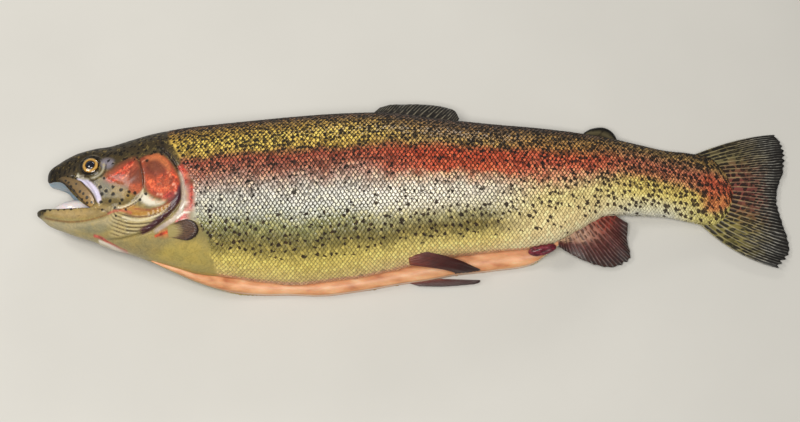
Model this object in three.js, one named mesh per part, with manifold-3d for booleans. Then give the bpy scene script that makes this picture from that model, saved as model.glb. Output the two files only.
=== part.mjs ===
// A rainbow trout lying on its right side, life size, with its mouth open and its belly slit.
// Millimetres. X runs from the snout to the tail, Y from the belly to the back, and Z up from the
// floor to the left flank. The body is lofted whole from a few stations and parted by thin cuts.
import * as THREE from "three";
import { ParametricGeometry } from "three/addons/geometries/ParametricGeometry.js";
import { mergeVertices } from "three/addons/utils/BufferGeometryUtils.js";
import Module from "manifold-3d";

// ---- Driving dimensions -------------------------------------------------------------------
const GAP = 0.3; // between neighbours
const JAW_ROOT = 42; // tip of the lower jaw to where the two jaws join the body
const TAIL_BASE = 510; // tip of the lower jaw to the end of the scaled tail base
const FLOOR_SOFTNESS = 3; // how gently the underside flattens where it meets the floor
const FULLNESS = 2.2; // exponent of the flank's curve: 2 is an ellipse, more is squarer

// Stations of the body, in mm behind the tip of the lower jaw: height of the back, the left and
// the right edge of the belly, and the widest line, then half width, height of the middle above
// the floor, and how far the left and right halves of the belly sag below that middle.
const BODY_COLUMNS = ["back", "left", "right", "axis", "half", "mid", "sagLeft", "sagRight"];
const BODY = [
  [JAW_ROOT, 34.2, -35.5, -35.5, 4.8, 20.8, 27.3, 0, 0],
  [52, 35.6, -40, -40, 3.8, 22.5, 27.5, 0, 0],
  [67, 40, -44.5, -44.5, 4.6, 25, 28.2, 0, 0],
  [82, 44.5, -49.2, -49.6, 5.2, 26.5, 28.7, 1, 2],
  [96, 47.3, -53, -55.4, 5.2, 27.5, 28.9, 3.4, 5],
  [118, 51, -58.4, -63.6, 5, 29, 28.4, 7.5, 11],
  [147, 54.3, -61, -69, 7, 31, 27.8, 12, 20.5],
  [183, 58.1, -64.3, -69.9, 9.2, 32, 27.5, 14, 23.5],
  [219, 60.9, -60.9, -68.8, 12.2, 32, 27.5, 14, 23.5],
  [256, 61.4, -54.7, -62.5, 15, 31.5, 27.5, 13, 23.5],
  [292, 57.2, -45.6, -56.7, 16, 29.5, 26.5, 11, 22.5],
  [329, 54.3, -40.5, -51.4, 16.4, 26, 24, 8, 20],
  [358, 52.9, -37.7, -46.6, 16.6, 23, 21.5, 5, 16.5],
  [376, 51.9, -33.2, -36, 17.2, 20.5, 19.5, 2, 6],
  [395, 50.3, -22.9, -22.9, 19.6, 18, 17.5, 0, 0],
  [414, 48.2, -12.5, -12.5, 21, 15.5, 15, 0, 0],
  [440, 43.1, -11.2, -11.2, 19.2, 12.5, 12.5, 0, 0],
  [458, 39.6, -11.8, -11.8, 15.8, 10.5, 10.5, 0, 0],
  [477, 38.2, -15.2, -15.2, 12.6, 8, 8.5, 0, 0],
  [493, 35, -17, -17, 9, 5.5, 6.8, 0, 0],
  [504, 25, -9, -9, 8, 3.6, 5.9, 0, 0],
  [TAIL_BASE, 12, 4, 4, 8, 1, 5.5, 0, 0],
];

// Stations of the upper jaw: top, lip edge, widest line, half width and height of the middle.
const UPPER_COLUMNS = ["back", "left", "axis", "half", "mid"];
const UPPER_JAW = [
  [6.2, 14.5, 10.5, 12.5, 2.2, 25.5],
  [8.4, 19, 7.6, 12.5, 6.6, 25.5],
  [14, 23, 6.8, 12, 10.6, 25.7],
  [20, 26.8, 4.6, 11, 13.4, 26],
  [28, 30.8, -4.5, 8.4, 16.2, 26.4],
  [36, 33, -12, 6, 18.6, 26.9],
  [44, 34, -17.2, 4.7, 20.6, 27.3],
];

// Stations of the lower jaw: rim, keel, widest line, half width and height of the middle.
const LOWER_JAW = [
  [0, -13.8, -16, -14.6, 1.6, 26],
  [3.5, -12.9, -18.6, -14.4, 5.2, 26],
  [8, -13, -22.6, -15, 8.2, 26],
  [14, -14, -25.7, -16, 10.7, 26],
  [20, -14.5, -27.8, -17, 12.7, 26.2],
  [29, -15, -31.2, -18, 15.2, 26.5],
  [44, -16.4, -35.8, -19, 18.8, 27.2],
];
const JAW_RIM_FULLNESS = 5; // the rim of the lower jaw is nearly flat

// The belly is slit from throat to vent: how far the slit runs and goes in, the thickness of its
// two walls, how far their inner edges are set back, and half its width halfway in.
const SLIT = { from: 84, to: 378, ease: 26, depth: 22 };
const WALLS = { left: 4.5, right: 3.5, lip: 1.2, apart: 0.8 };

// Where the body is parted into head, lengths of trunk and tail stalk.
const CUTS = { neck: 100, shoulder: 190, middle: 290, vent: 384 };

// Eye: a flattened ball set into the head, turned a little upwards and forwards.
const EYE = { x: 40.2, y: 15.6, radius: 8.4, depth: 5.2, fromMiddle: 15.8 };
const EYE_TURN = { upwards: 0.23, forwards: 0.22 };

// Gill cover and the fan of gill rays under it stand a little proud of the head, on both sides
// of its middle height.
const COVER = { thickness: 2.6, proud: 0.9, middle: 28, apart: 6 };
const COVER_REACH = 126; // the covers and the throat end ahead of here

// Mouth: a hollow behind the lips, and the pale tongue on its floor.
const MOUTH = { x: 27, y: -7.5, z: 26.3, radii: [24, 8, 11], tilt: -0.36 };
const TONGUE = { x: 26, y: -10.8, z: 26.3, radii: [14, 6.4, 6.8], tilt: 0.1 };

// Maxilla: the blade of bone along each side of the upper jaw, hinged at the snout.
const MAXILLA = { thickness: 2, x: 17, middle: 25.8, front: 12.7, spread: 0.33 };

const COLOURS = {
  back: 0x6b6a3a,
  flank: 0xb9b59a,
  head: 0x8a8453,
  cover: 0xc8724a,
  rays: 0xd2bf7e,
  jaw: 0xcfc39a,
  tongue: 0xe4dfe6,
  eye: 0xd9b45a,
  fin: 0x7a5a3a,
  tail: 0x8c8350,
  vent: 0x8e3346,
};

// ---- Solids: meshes in, meshes out, with manifold-3d for joins and cuts ---------------------
const wasm = await Module();
wasm.setup();

function solid(geometry) {
  const bare = geometry.index ? geometry.toNonIndexed() : geometry.clone();
  bare.deleteAttribute("normal");
  bare.deleteAttribute("uv");
  const merged = mergeVertices(bare, 1e-3);
  const index = merged.index.array;
  const kept = [];
  for (let i = 0; i < index.length; i += 3) {
    const [a, b, c] = [index[i], index[i + 1], index[i + 2]];
    if (a !== b && b !== c && c !== a) kept.push(a, b, c);
  }
  const vertProperties = merged.attributes.position.array;
  const build = (corners) =>
    new wasm.Manifold(new wasm.Mesh({ numProp: 3, vertProperties, triVerts: new Uint32Array(corners) }));
  const made = build(kept);
  return made.volume() < 0 ? build(kept.reverse()) : made; // a loft may run either way round
}

function geometryOf(made) {
  const { numProp, vertProperties, triVerts } = made.getMesh();
  const points = new Float32Array((vertProperties.length / numProp) * 3);
  for (let i = 0; i < points.length / 3; i++) {
    points.set(vertProperties.subarray(i * numProp, i * numProp + 3), i * 3);
  }
  const geometry = new THREE.BufferGeometry();
  geometry.setAttribute("position", new THREE.BufferAttribute(points, 3));
  geometry.setIndex(new THREE.BufferAttribute(triVerts, 1));
  geometry.computeVertexNormals();
  return geometry;
}

// The largest piece of a cut solid: thin slivers that a cut leaves are dropped.
function mainPiece(made) {
  const pieces = made.decompose();
  return pieces.reduce((best, next) => (next.volume() > best.volume() ? next : best));
}

// A closed loft: pointAt(ring, share, target) gives a point on each ring, and both ends are
// closed on the middle of their ring.
function loft(rings, around, pointAt) {
  const middles = [0, rings - 1].map((ring) => {
    const sum = new THREE.Vector3();
    const point = new THREE.Vector3();
    for (let i = 0; i < around; i++) {
      pointAt(ring, i / around, point);
      sum.add(point);
    }
    return sum.divideScalar(around);
  });
  const surface = (u, v, target) => {
    const ring = Math.round(v * (rings + 1)) - 1;
    if (ring < 0) target.copy(middles[0]);
    else if (ring >= rings) target.copy(middles[1]);
    else pointAt(ring, u > 1 - 1e-9 ? 0 : u, target);
  };
  return solid(new ParametricGeometry(surface, around, rings + 1));
}

// Smooth cubic through a table's stations (first column x) for each of its other columns.
function stationAt(rows, columns, x) {
  const last = rows.length - 1;
  let i = 0;
  while (i < last - 1 && x > rows[i + 1][0]) i++;
  const [x0, x1] = [rows[i][0], rows[i + 1][0]];
  const t = THREE.MathUtils.clamp((x - x0) / (x1 - x0), 0, 1);
  const slope = (j, column) => {
    const [a, b] = [Math.max(j - 1, 0), Math.min(j + 1, last)];
    return (rows[b][column] - rows[a][column]) / (rows[b][0] - rows[a][0]);
  };
  const station = {};
  columns.forEach((name, k) => {
    const column = k + 1;
    const [p0, p1] = [rows[i][column], rows[i + 1][column]];
    const [m0, m1] = [slope(i, column) * (x1 - x0), slope(i + 1, column) * (x1 - x0)];
    const [t2, t3] = [t * t, t * t * t];
    station[name] =
      (2 * t3 - 3 * t2 + 1) * p0 + (t3 - 2 * t2 + t) * m0 + (3 * t2 - 2 * t3) * p1 + (t3 - t2) * m1;
  });
  return station;
}

// ---- Body ----------------------------------------------------------------------------------
// The underside comes down to the floor and flattens there.
function onFloor(z) {
  if (z >= FLOOR_SOFTNESS) return z;
  if (z <= -FLOOR_SOFTNESS) return 0;
  return (z + FLOOR_SOFTNESS) ** 2 / (4 * FLOOR_SOFTNESS);
}

// A point of one flank: turn goes from the edge of the belly (0) over the widest line (0.5) to
// the back (1); side is 1 for the left flank and -1 for the right.
function flankPoint(s, turn, side, grow, fullness) {
  const angle = (turn - 0.5) * Math.PI;
  const power = 2 / fullness;
  const across = Math.cos(angle) ** power;
  const along = Math.abs(Math.sin(angle)) ** power;
  const belly = (side > 0 ? s.left : s.right) - grow;
  const sag = side > 0 ? s.sagLeft : s.sagRight;
  const edge = turn > 0.5 ? s.back + grow : belly;
  const y = s.axis + along * (edge - s.axis);
  const drop = turn > 0.5 ? 0 : sag * along * along;
  return [y, s.mid + side * (s.half + grow) * across - drop];
}

// The slit's cross-section, from the right edge of the belly in, up and back out to the left.
function slitPoint(s, share, opening) {
  const deep = SLIT.depth * opening;
  const leftZ = s.mid - s.sagLeft;
  const rightZ = s.mid - s.sagRight;
  const leftInside = leftZ - WALLS.left * opening;
  const rightInside = rightZ + WALLS.right * opening;
  const level = (leftInside + rightInside) / 2;
  const path = [
    [s.right, rightZ],
    [s.right + WALLS.lip * opening, rightInside],
    [s.left + deep / 2, level - WALLS.apart * opening],
    [s.left + deep, level],
    [s.left + deep / 2, level + WALLS.apart * opening],
    [s.left + WALLS.lip * opening, leftInside],
    [s.left, leftZ],
  ];
  const place = share * (path.length - 1);
  const i = Math.min(Math.floor(place), path.length - 2);
  const t = place - i;
  return [0, 1].map((k) => path[i][k] * (1 - t) + path[i + 1][k] * t);
}

function slitOpening(x) {
  const rise = THREE.MathUtils.smoothstep(x, SLIT.from, SLIT.from + SLIT.ease);
  return rise * (1 - THREE.MathUtils.smoothstep(x, SLIT.to - SLIT.ease, SLIT.to));
}

const FLANK_STEPS = 12;
const SLIT_STEPS = 6;

function bodySolid({ from, to, step, grow = 0, slit = true }) {
  const rings = Math.round((to - from) / step) + 1;
  const around = 2 * FLANK_STEPS + SLIT_STEPS;
  return loft(rings, around, (ring, share, target) => {
    const x = from + ((to - from) * ring) / (rings - 1);
    const s = stationAt(BODY, BODY_COLUMNS, x);
    const place = Math.round(share * around);
    let point;
    if (place <= FLANK_STEPS) point = flankPoint(s, place / FLANK_STEPS, 1, grow, FULLNESS);
    else if (place <= 2 * FLANK_STEPS) {
      point = flankPoint(s, 2 - place / FLANK_STEPS, -1, grow, FULLNESS);
    } else {
      const opening = slit ? slitOpening(x) : 0;
      const shared = { ...s, left: s.left - grow, right: s.right - grow };
      point = slitPoint(shared, (place - 2 * FLANK_STEPS) / SLIT_STEPS, opening);
    }
    target.set(x, point[0], grow > 0 ? point[1] : onFloor(point[1]));
  });
}

// A jaw: a loft whose upper and lower edges have their own fullness.
function jawSolid(rows, fullnessAbove, fullnessBelow) {
  const around = 22;
  const rings = 10;
  const [first, last] = [rows[0][0], rows[rows.length - 1][0]];
  return loft(rings, around, (ring, share, target) => {
    // Rings crowd towards the rounded front.
    const x = first + (last - first) * (ring / (rings - 1)) ** 1.6;
    const s = stationAt(rows, UPPER_COLUMNS, x);
    Object.assign(s, { right: s.left, sagLeft: 0, sagRight: 0 });
    const turn = share < 0.5 ? share * 2 : 2 - share * 2;
    const fullness = turn > 0.5 ? fullnessAbove : fullnessBelow;
    const [y, z] = flankPoint(s, turn, share < 0.5 ? 1 : -1, 0, fullness);
    target.set(x, y, z);
  });
}

// ---- Cutters -------------------------------------------------------------------------------
// A closed outline raised between two heights.
function prism(outline, bottom, top) {
  const shape = new THREE.Shape(outline.map(([x, y]) => new THREE.Vector2(x, y)));
  const raised = new THREE.ExtrudeGeometry(shape, { depth: top - bottom, bevelEnabled: false });
  return solid(raised.translate(0, 0, bottom));
}

// A closed smooth loop through a few points.
function smoothLoop(points, steps) {
  const ring = points.map(([x, y]) => new THREE.Vector3(x, y, 0));
  const loop = new THREE.CatmullRomCurve3(ring, true);
  return loop.getPoints(steps).slice(0, -1).map((p) => [p.x, p.y]);
}

// A loop moved outwards along its own normals.
function widened(loop, by) {
  const turn = Math.sign(THREE.ShapeUtils.area(loop.map(([x, y]) => new THREE.Vector2(x, y))));
  const out = by * turn;
  return loop.map(([x, y], i) => {
    const [x0, y0] = loop[(i + loop.length - 1) % loop.length];
    const [x1, y1] = loop[(i + 1) % loop.length];
    const [dx, dy] = [x1 - x0, y1 - y0];
    const reach = Math.hypot(dx, dy);
    return [x + (dy / reach) * out, y - (dx / reach) * out];
  });
}

function length(from, to) {
  const size = 400;
  const block = new THREE.BoxGeometry(to - from, size, size);
  return solid(block.translate((from + to) / 2, 0, 0));
}

function ellipsoid({ x, y, z, radii, tilt }) {
  const ball = new THREE.SphereGeometry(1, 12, 7);
  ball.scale(...radii);
  ball.rotateZ(tilt);
  return solid(ball.translate(x, y, z));
}

const SPAN = { below: -20, above: 90 };

// The lower jaw is what lies below this outline's rim and ahead of its joint.
const JAW_JOINT = [62, -19];
const jawOutline = (gap) => [
  [-5, -10 + gap],
  [16, -12 + gap],
  [40, -15.6 + gap],
  [JAW_JOINT[0] + gap, JAW_JOINT[1] + gap],
  [48 + gap, -34],
  [46 + gap, -60],
  [-5, -60],
];

const COVER_OUTLINE = smoothLoop([
  [76, 22.5], [79.6, 12], [80.6, -2], [75, -12.5], [66.5, -18.2], [77, -19.8], [91, -17.6],
  [103, -14], [107.2, -5.5], [105, 6], [98, 18.5], [87, 25.2],
], 19);
const RAYS_OUTLINE = smoothLoop([
  [64.5, -20.4], [77, -21.4], [91, -19.2], [102, -16], [99, -24.5], [92, -31.5], [79, -36.8],
  [66, -36.6], [52, -34.6],
], 16);
const MAXILLA_OUTLINE = smoothLoop([
  [16.5, 8.6], [24, 9.8], [32.3, 5.8], [38.8, -1], [43.2, -7], [45, -12], [43, -15.6], [38.5, -14.8],
  [30.8, -8.6], [24.6, -1.4], [18.6, 5.8],
], 18);

// ---- Head ----------------------------------------------------------------------------------
const body = bodySolid({ from: JAW_ROOT, to: TAIL_BASE, step: 13 });
const bodyGrown = bodySolid({ from: JAW_ROOT, to: TAIL_BASE, step: 13, grow: GAP, slit: false });
const throat = bodySolid({ from: JAW_ROOT, to: COVER_REACH, step: 7 });
const upperJaw = jawSolid(UPPER_JAW, FULLNESS, 3);
const lowerJaw = jawSolid(LOWER_JAW, JAW_RIM_FULLNESS, 2);
const mouth = ellipsoid(MOUTH);
const tongue = ellipsoid(TONGUE);
const tongueSeat = ellipsoid({ ...TONGUE, radii: TONGUE.radii.map((r) => r + GAP) });
const eyeMiddle = stationAt(BODY, BODY_COLUMNS, JAW_ROOT).mid;

// An eyeball looks out to its own side.
function eyeball(side, grow) {
  const ball = new THREE.SphereGeometry(1, 15, 9);
  ball.scale(EYE.radius + grow, EYE.radius + grow, EYE.depth + grow);
  ball.rotateX(-EYE_TURN.upwards * side);
  ball.rotateY(-EYE_TURN.forwards * side);
  return solid(ball.translate(EYE.x, EYE.y, eyeMiddle + side * EYE.fromMiddle));
}

// The blade of the maxilla turns outwards towards the corner of the mouth.
function maxilla(side, grow) {
  const outline = widened(MAXILLA_OUTLINE, grow);
  const shape = new THREE.Shape(outline.map(([x, y]) => new THREE.Vector2(x - MAXILLA.x, y)));
  const depth = MAXILLA.thickness + 2 * grow;
  const blade = new THREE.ExtrudeGeometry(shape, { depth, bevelEnabled: false });
  blade.translate(0, 0, -depth / 2);
  blade.rotateY(-MAXILLA.spread * side);
  return solid(blade.translate(MAXILLA.x, 0, MAXILLA.middle + side * MAXILLA.front));
}

// A shell over the head: between two depths under its surface, inside an outline, on one side.
function shell(outline, side, under, over) {
  const run = { from: JAW_ROOT, to: COVER_REACH, step: 7, slit: false };
  const outer = bodySolid({ ...run, grow: over });
  const inner = bodySolid({ ...run, grow: -under });
  const { middle: mid, apart } = COVER;
  const reach = side > 0 ? [mid + apart, SPAN.above] : [SPAN.below, mid - apart];
  return outer.subtract(inner).intersect(prism(outline, ...reach));
}

// Nothing reaches lower than the floor.
const roomy = 1200;
const aboveFloor = solid(new THREE.BoxGeometry(roomy, roomy, roomy).translate(0, 0, roomy / 2));

const sides = { left: 1, right: -1 };
const seats = Object.values(sides).flatMap((side) =>
  [COVER_OUTLINE, RAYS_OUTLINE].map((outline) =>
    shell(widened(outline, GAP), side, COVER.thickness + GAP, COVER.proud + 3),
  ),
);
const withoutSeats = (made) => seats.reduce((rest, seat) => rest.subtract(seat), made);

const wholeHead = throat.add(upperJaw).subtract(mouth);
let head = wholeHead.subtract(prism(jawOutline(GAP), SPAN.below, SPAN.above));
head = withoutSeats(head.intersect(length(0, CUTS.neck - GAP / 2)));
for (const side of Object.values(sides)) {
  head = head.subtract(eyeball(side, GAP)).subtract(maxilla(side, GAP));
}
const jawRegion = prism(jawOutline(0), SPAN.below, SPAN.above);
const jaw = lowerJaw.add(throat).intersect(jawRegion).subtract(mouth).subtract(tongueSeat);

// ---- Fins ----------------------------------------------------------------------------------
// A fin is a fan of rays from its base to its margin, through an optional middle line, with a
// lens-shaped section. Each line is a smooth curve through a few points.
function fin({ base, middle, margin, thick, thin, rays = 9, lift = [0, 0, 1] }) {
  const line = (points) => new THREE.CatmullRomCurve3(points.map((p) => new THREE.Vector3(...p)));
  const [from, through, to] = [base, middle, margin].map((points) => points && line(points));
  const steps = 3;
  const up = new THREE.Vector3(...lift).normalize();
  return loft(rays, 2 * steps + 2, (ring, share, target) => {
    const u = ring / (rays - 1);
    const place = Math.round(share * (2 * steps + 2));
    const v = place <= steps ? place / steps : (2 * steps + 1 - place) / steps;
    const side = place <= steps ? 1 : -1;
    const a = from.getPoint(u);
    const c = to.getPoint(u);
    const b = through ? through.getPoint(u) : a.clone().lerp(c, 0.5);
    // Quadratic through the three points of this ray.
    const weights = [2 * (v - 0.5) * (v - 1), -4 * v * (v - 1), 2 * v * (v - 0.5)];
    target.set(0, 0, 0);
    [a, b, c].forEach((point, k) => target.addScaledVector(point, weights[k]));
    target.addScaledVector(up, (side * (thick + (thin - thick) * v)) / 2);
  });
}

// A paired fin lies on the flank: its heights are measured from the skin.
function flankHeight(x, y, side) {
  const s = stationAt(BODY, BODY_COLUMNS, x);
  const [belly, sag] = side > 0 ? [s.left, s.sagLeft] : [s.right, s.sagRight];
  const above = y > s.axis;
  const edge = above ? s.back : belly;
  const along = THREE.MathUtils.clamp((y - s.axis) / (edge - s.axis), 0, 1);
  const across = (1 - along ** FULLNESS) ** (1 / FULLNESS);
  const drop = above ? 0 : sag * along * along;
  return s.mid + side * s.half * across - drop;
}

const onFlank = (points, side, lift) =>
  points.map(([x, y]) => [x, y, flankHeight(x, y, side) + side * lift]);

const FINS = {
  dorsal_fin: {
    base: [[237, 58, 27], [256, 58, 27], [280, 55, 27], [303, 52.5, 26]],
    margin: [[237.5, 64], [248, 69.4], [263, 70.8], [280, 70.4], [293, 69], [302, 66], [305, 61]].map(
      ([x, y]) => [x, y, 26.4],
    ),
    thick: 3,
    thin: 1.4,
  },
  adipose_fin: {
    base: [[397, 47, 17.3], [408, 46, 16], [420, 44, 14.6]],
    margin: [
      [399, 51.8, 17], [405, 55.3, 16.6], [412.7, 56.3, 16], [418.5, 54.4, 15], [422, 51, 14.4],
      [423.8, 46.5, 14],
    ],
    thick: 3.4,
    thin: 1.8,
    rays: 7,
  },
  anal_fin: {
    base: [[377.5, -31, 18], [396, -19, 16.5], [416, -9, 14.5]],
    margin: [
      [378, -36.4, 17], [387, -40.6, 12], [401, -46, 8], [416, -48.6, 4.6], [427, -45, 3],
      [431.6, -39, 3], [429.5, -28, 5], [430, -16, 9],
    ],
    thick: 3.2,
    thin: 1.2,
    rays: 12,
  },
  caudal_fin: {
    base: [[474, 34.5, 8.7], [497, 28, 7], [504, 10, 6], [497, -6, 6.4], [480, -13, 8]],
    middle: [[512, 49.3, 5.5], [522, 32, 4.6], [525, 9, 4.4], [522, -16, 4.4], [508, -36, 5]],
    margin: [
      [543, 55.2, 3.4], [549, 43, 3], [547.5, 26, 3], [541.4, 8, 3], [544, -12, 3],
      [548.5, -34, 3], [539.6, -48.6, 3],
    ],
    thick: 3.6,
    thin: 1.4,
    rays: 14,
  },
  pectoral_fin_left: {
    base: onFlank([[97, -30.5], [97, -34.5], [98, -39]], 1, 1.9),
    margin: onFlank([[104, -28.6], [113, -27.6], [120, -33.8], [114, -40.8], [105, -41.4]], 1, 2.6),
    thick: 3.4,
    thin: 2,
    rays: 8,
  },
  pectoral_fin_right: {
    base: [[97, -33, 3.2], [97, -38, 3], [98, -43, 3]],
    margin: [[104, -33, 2.2], [112, -35, 1.6], [119, -42, 1.3], [114, -48.6, 1.4], [104, -48, 2]],
    thick: 2.6,
    thin: 1.8,
    rays: 8,
  },
  pelvic_fin_left: {
    base: [[270, -40, 33], [271, -46, 30], [272, -52, 25.5]],
    middle: [[296, -46, 25.5], [296, -50, 22], [294, -54, 18]],
    margin: [[313, -49.6, 16.4], [321.7, -52.4, 11], [314, -54, 11], [303, -55.4, 11.6]],
    thick: 2.8,
    thin: 1.3,
    rays: 10,
    lift: [0.2, -0.5, 1],
  },
  pelvic_fin_right: {
    base: [[270, -60, 2.6], [281, -58.6, 2.6], [293, -56.6, 2.6]],
    margin: [[277, -62.2, 2.6], [296, -62.2, 2.4], [318, -60.2, 2.2], [322, -57.4, 2.2]],
    thick: 2.6,
    thin: 1.6,
    rays: 8,
  },
};

// The vent stands out as a short stub behind the slit.
const vent = ellipsoid({ x: 366, y: -38.6, z: 17.5, radii: [10.5, 4.4, 3.6], tilt: 0.22 });

// ---- The fish ------------------------------------------------------------------------------
const fish = new THREE.Group();

function add(name, made, colour, roughness = 0.4) {
  const material = new THREE.MeshStandardMaterial({ color: colour, roughness, metalness: 0 });
  const mesh = new THREE.Mesh(geometryOf(mainPiece(made)), material);
  mesh.name = name;
  fish.add(mesh);
}

add("head", head, COLOURS.head);
add("lower_jaw", jaw, COLOURS.jaw);
add("tongue", tongue, COLOURS.tongue, 0.3);
for (const [side, sign] of Object.entries(sides)) {
  add(`maxilla_${side}`, maxilla(sign, 0), COLOURS.head);
  const cover = shell(COVER_OUTLINE, sign, COVER.thickness, COVER.proud);
  const rays = shell(RAYS_OUTLINE, sign, COVER.thickness, COVER.proud);
  add(`gill_cover_${side}`, cover.intersect(aboveFloor), COLOURS.cover);
  add(`gill_rays_${side}`, rays.intersect(aboveFloor), COLOURS.rays);
  add(`eye_${side}`, eyeball(sign, 0), COLOURS.eye, 0.1);
}

const lengths = [
  ["trunk_front", CUTS.neck, CUTS.shoulder],
  ["trunk_middle", CUTS.shoulder, CUTS.middle],
  ["trunk_rear", CUTS.middle, CUTS.vent],
  ["tail_stalk", CUTS.vent, TAIL_BASE + 10],
];
for (const [name, from, to] of lengths) {
  const piece = withoutSeats(body.intersect(length(from + GAP / 2, to - GAP / 2)));
  add(name, piece, name === "tail_stalk" ? COLOURS.back : COLOURS.flank);
}
for (const [name, shape] of Object.entries(FINS)) {
  const colour = name === "caudal_fin" ? COLOURS.tail : COLOURS.fin;
  add(name, withoutSeats(fin(shape).subtract(bodyGrown)), colour, 0.5);
}
add("vent", vent.subtract(bodyGrown), COLOURS.vent, 0.3);

// The part's origin is the middle of its footprint, on the floor.
const box = new THREE.Box3().setFromObject(fish);
const middle = box.getCenter(new THREE.Vector3());
fish.position.set(-middle.x, -middle.y, 0);

export default fish;
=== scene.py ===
import math

import bmesh
import bpy
import numpy as np
from mathutils import Matrix, Vector


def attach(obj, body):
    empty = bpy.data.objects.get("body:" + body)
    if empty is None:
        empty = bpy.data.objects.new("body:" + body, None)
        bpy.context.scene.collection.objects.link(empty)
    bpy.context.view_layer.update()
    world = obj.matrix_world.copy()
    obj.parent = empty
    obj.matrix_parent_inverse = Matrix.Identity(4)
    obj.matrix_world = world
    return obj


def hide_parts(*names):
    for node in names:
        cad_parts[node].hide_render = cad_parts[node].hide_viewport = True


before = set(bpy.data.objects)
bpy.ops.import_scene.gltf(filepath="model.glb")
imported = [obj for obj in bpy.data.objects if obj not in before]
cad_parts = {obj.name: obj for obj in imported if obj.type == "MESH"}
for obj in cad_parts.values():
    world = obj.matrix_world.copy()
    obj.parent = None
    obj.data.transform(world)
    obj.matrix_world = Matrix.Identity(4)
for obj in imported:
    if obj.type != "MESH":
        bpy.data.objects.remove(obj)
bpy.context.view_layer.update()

# ---- Room ----
# The fish lies on a plain pale table top under soft studio lights, and the camera looks down on
# its left flank from a little below the belly. The long light beyond the back wets the shoulder.
MM = 0.001
FISH_MIDDLE = np.array([274.623, 0.463, 0.0])  # millimetres behind the jaw tip, and up from the belly line
PICTURE_WIDTH, FOCAL_PIXELS = 800, 1867.5
SENSOR_WIDTH = 36.0
CAMERA_HEIGHT_ANGLE = 72.0
CAMERA_DISTANCE = 1.350
LOOK_AT = Vector((-0.01178, -0.01383, 0.030))
WARM = (1.0, 0.965, 0.90)


def add_object(name, data):
    made = bpy.data.objects.new(name, data)
    bpy.context.collection.objects.link(made)
    return made


def lamp(name, place, aim, size, watts):
    """A soft warm rectangular light at place, turned towards aim."""
    data = bpy.data.lights.new(name, "AREA")
    data.shape = "RECTANGLE"
    data.size, data.size_y = size
    data.energy = watts
    data.color = WARM
    made = add_object(name, data)
    made.location = place
    made.rotation_euler = (Vector(aim) - Vector(place)).to_track_quat("-Z", "Y").to_euler()


camera_data = bpy.data.cameras.new("camera")
camera_data.sensor_fit = "HORIZONTAL"
camera_data.sensor_width = SENSOR_WIDTH
camera_data.lens = FOCAL_PIXELS / PICTURE_WIDTH * SENSOR_WIDTH
camera_data.clip_start = 0.01
camera = add_object("camera", camera_data)
tilt = math.radians(CAMERA_HEIGHT_ANGLE)
camera.location = LOOK_AT + CAMERA_DISTANCE * Vector((0, -math.cos(tilt), math.sin(tilt)))
camera.rotation_euler = (math.pi / 2 - tilt, 0, 0)
bpy.context.scene.camera = camera

lamp("back_light", (0.02, 0.80, 0.36), (0.0, 0.03, 0.03), (0.5, 0.12), 1.6)
lamp("overhead_light", (-0.10, -0.42, 1.40), (0.0, 0.0, 0.02), (0.85, 0.45), 17)
lamp("shoulder_light", (-0.80, 0.25, 0.95), (-0.05, 0.0, 0.02), (0.35, 0.3), 4.0)
bpy.context.scene.view_settings.view_transform = "Standard"
world = bpy.data.worlds.new("studio")
world.use_nodes = True
world.node_tree.nodes["Background"].inputs["Color"].default_value = (0.86, 0.86, 0.84, 1)
world.node_tree.nodes["Background"].inputs["Strength"].default_value = 0.16
bpy.context.scene.world = world


def paint(code):
    """A colour code such as "c8b27a" as the linear RGBA that sockets take."""
    parts = [int(code[i:i + 2], 16) / 255 for i in (0, 2, 4)]
    return tuple(p / 12.92 if p < 0.04045 else ((p + 0.055) / 1.055) ** 2.4 for p in parts) + (1.0,)


class Value:
    """A value in a shader tree, which + - * / and abs() join with numbers and other values."""

    def __init__(self, socket):
        self.socket, self.tree = socket, socket.id_data

    def __add__(self, other):
        return maths("ADD", self, other)

    def __sub__(self, other):
        return maths("SUBTRACT", self, other)

    def __rsub__(self, other):
        return maths("SUBTRACT", other, self)

    def __mul__(self, other):
        return maths("MULTIPLY", self, other)

    def __truediv__(self, other):
        return maths("DIVIDE", self, other)

    def __abs__(self):
        return maths("ABSOLUTE", self)


class Values:
    """The outputs of a node, by name or number."""

    def __init__(self, sockets):
        self.sockets = sockets

    def __getitem__(self, key):
        return Value(self.sockets[key])


def wire(socket, value):
    """Joins a value to this socket, or sets it to a plain number, vector or colour code."""
    if isinstance(value, Value):
        value.tree.links.new(value.socket, socket)
    else:
        socket.default_value = paint(value) if isinstance(value, str) else value


def node(tree, kind, inputs=None, **settings):
    """The outputs of a new shader node with these inputs and settings."""
    made = tree.nodes.new("ShaderNode" + kind)
    for name, value in settings.items():
        setattr(made, name, value)
    for name, value in (inputs or {}).items():
        wire(made.inputs[name], value)
    return Values(made.outputs)


def maths(operation, a, b=0.0):
    tree = a.tree if isinstance(a, Value) else b.tree
    return node(tree, "Math", {0: a, 1: b}, operation=operation)[0]


def blend(amount, under, over, how="MIX"):
    """The colour under, with this amount of the colour over laid on it."""
    inputs = {0: amount, 6: under, 7: over}
    return node(amount.tree, "Mix", inputs, data_type="RGBA", blend_type=how)[2]


def mottle(place, scale, detail=2.0, rough=0.5, stretch=None):
    """Soft cloudy values about 0.5; scale is in patches per metre."""
    if stretch:
        place = node(place.tree, "Mapping", {"Vector": place, "Scale": stretch})[0]
    return node(place.tree, "TexNoise", {"Vector": place, "Scale": scale, "Detail": detail,
                                         "Roughness": rough})["Fac"]


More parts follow.
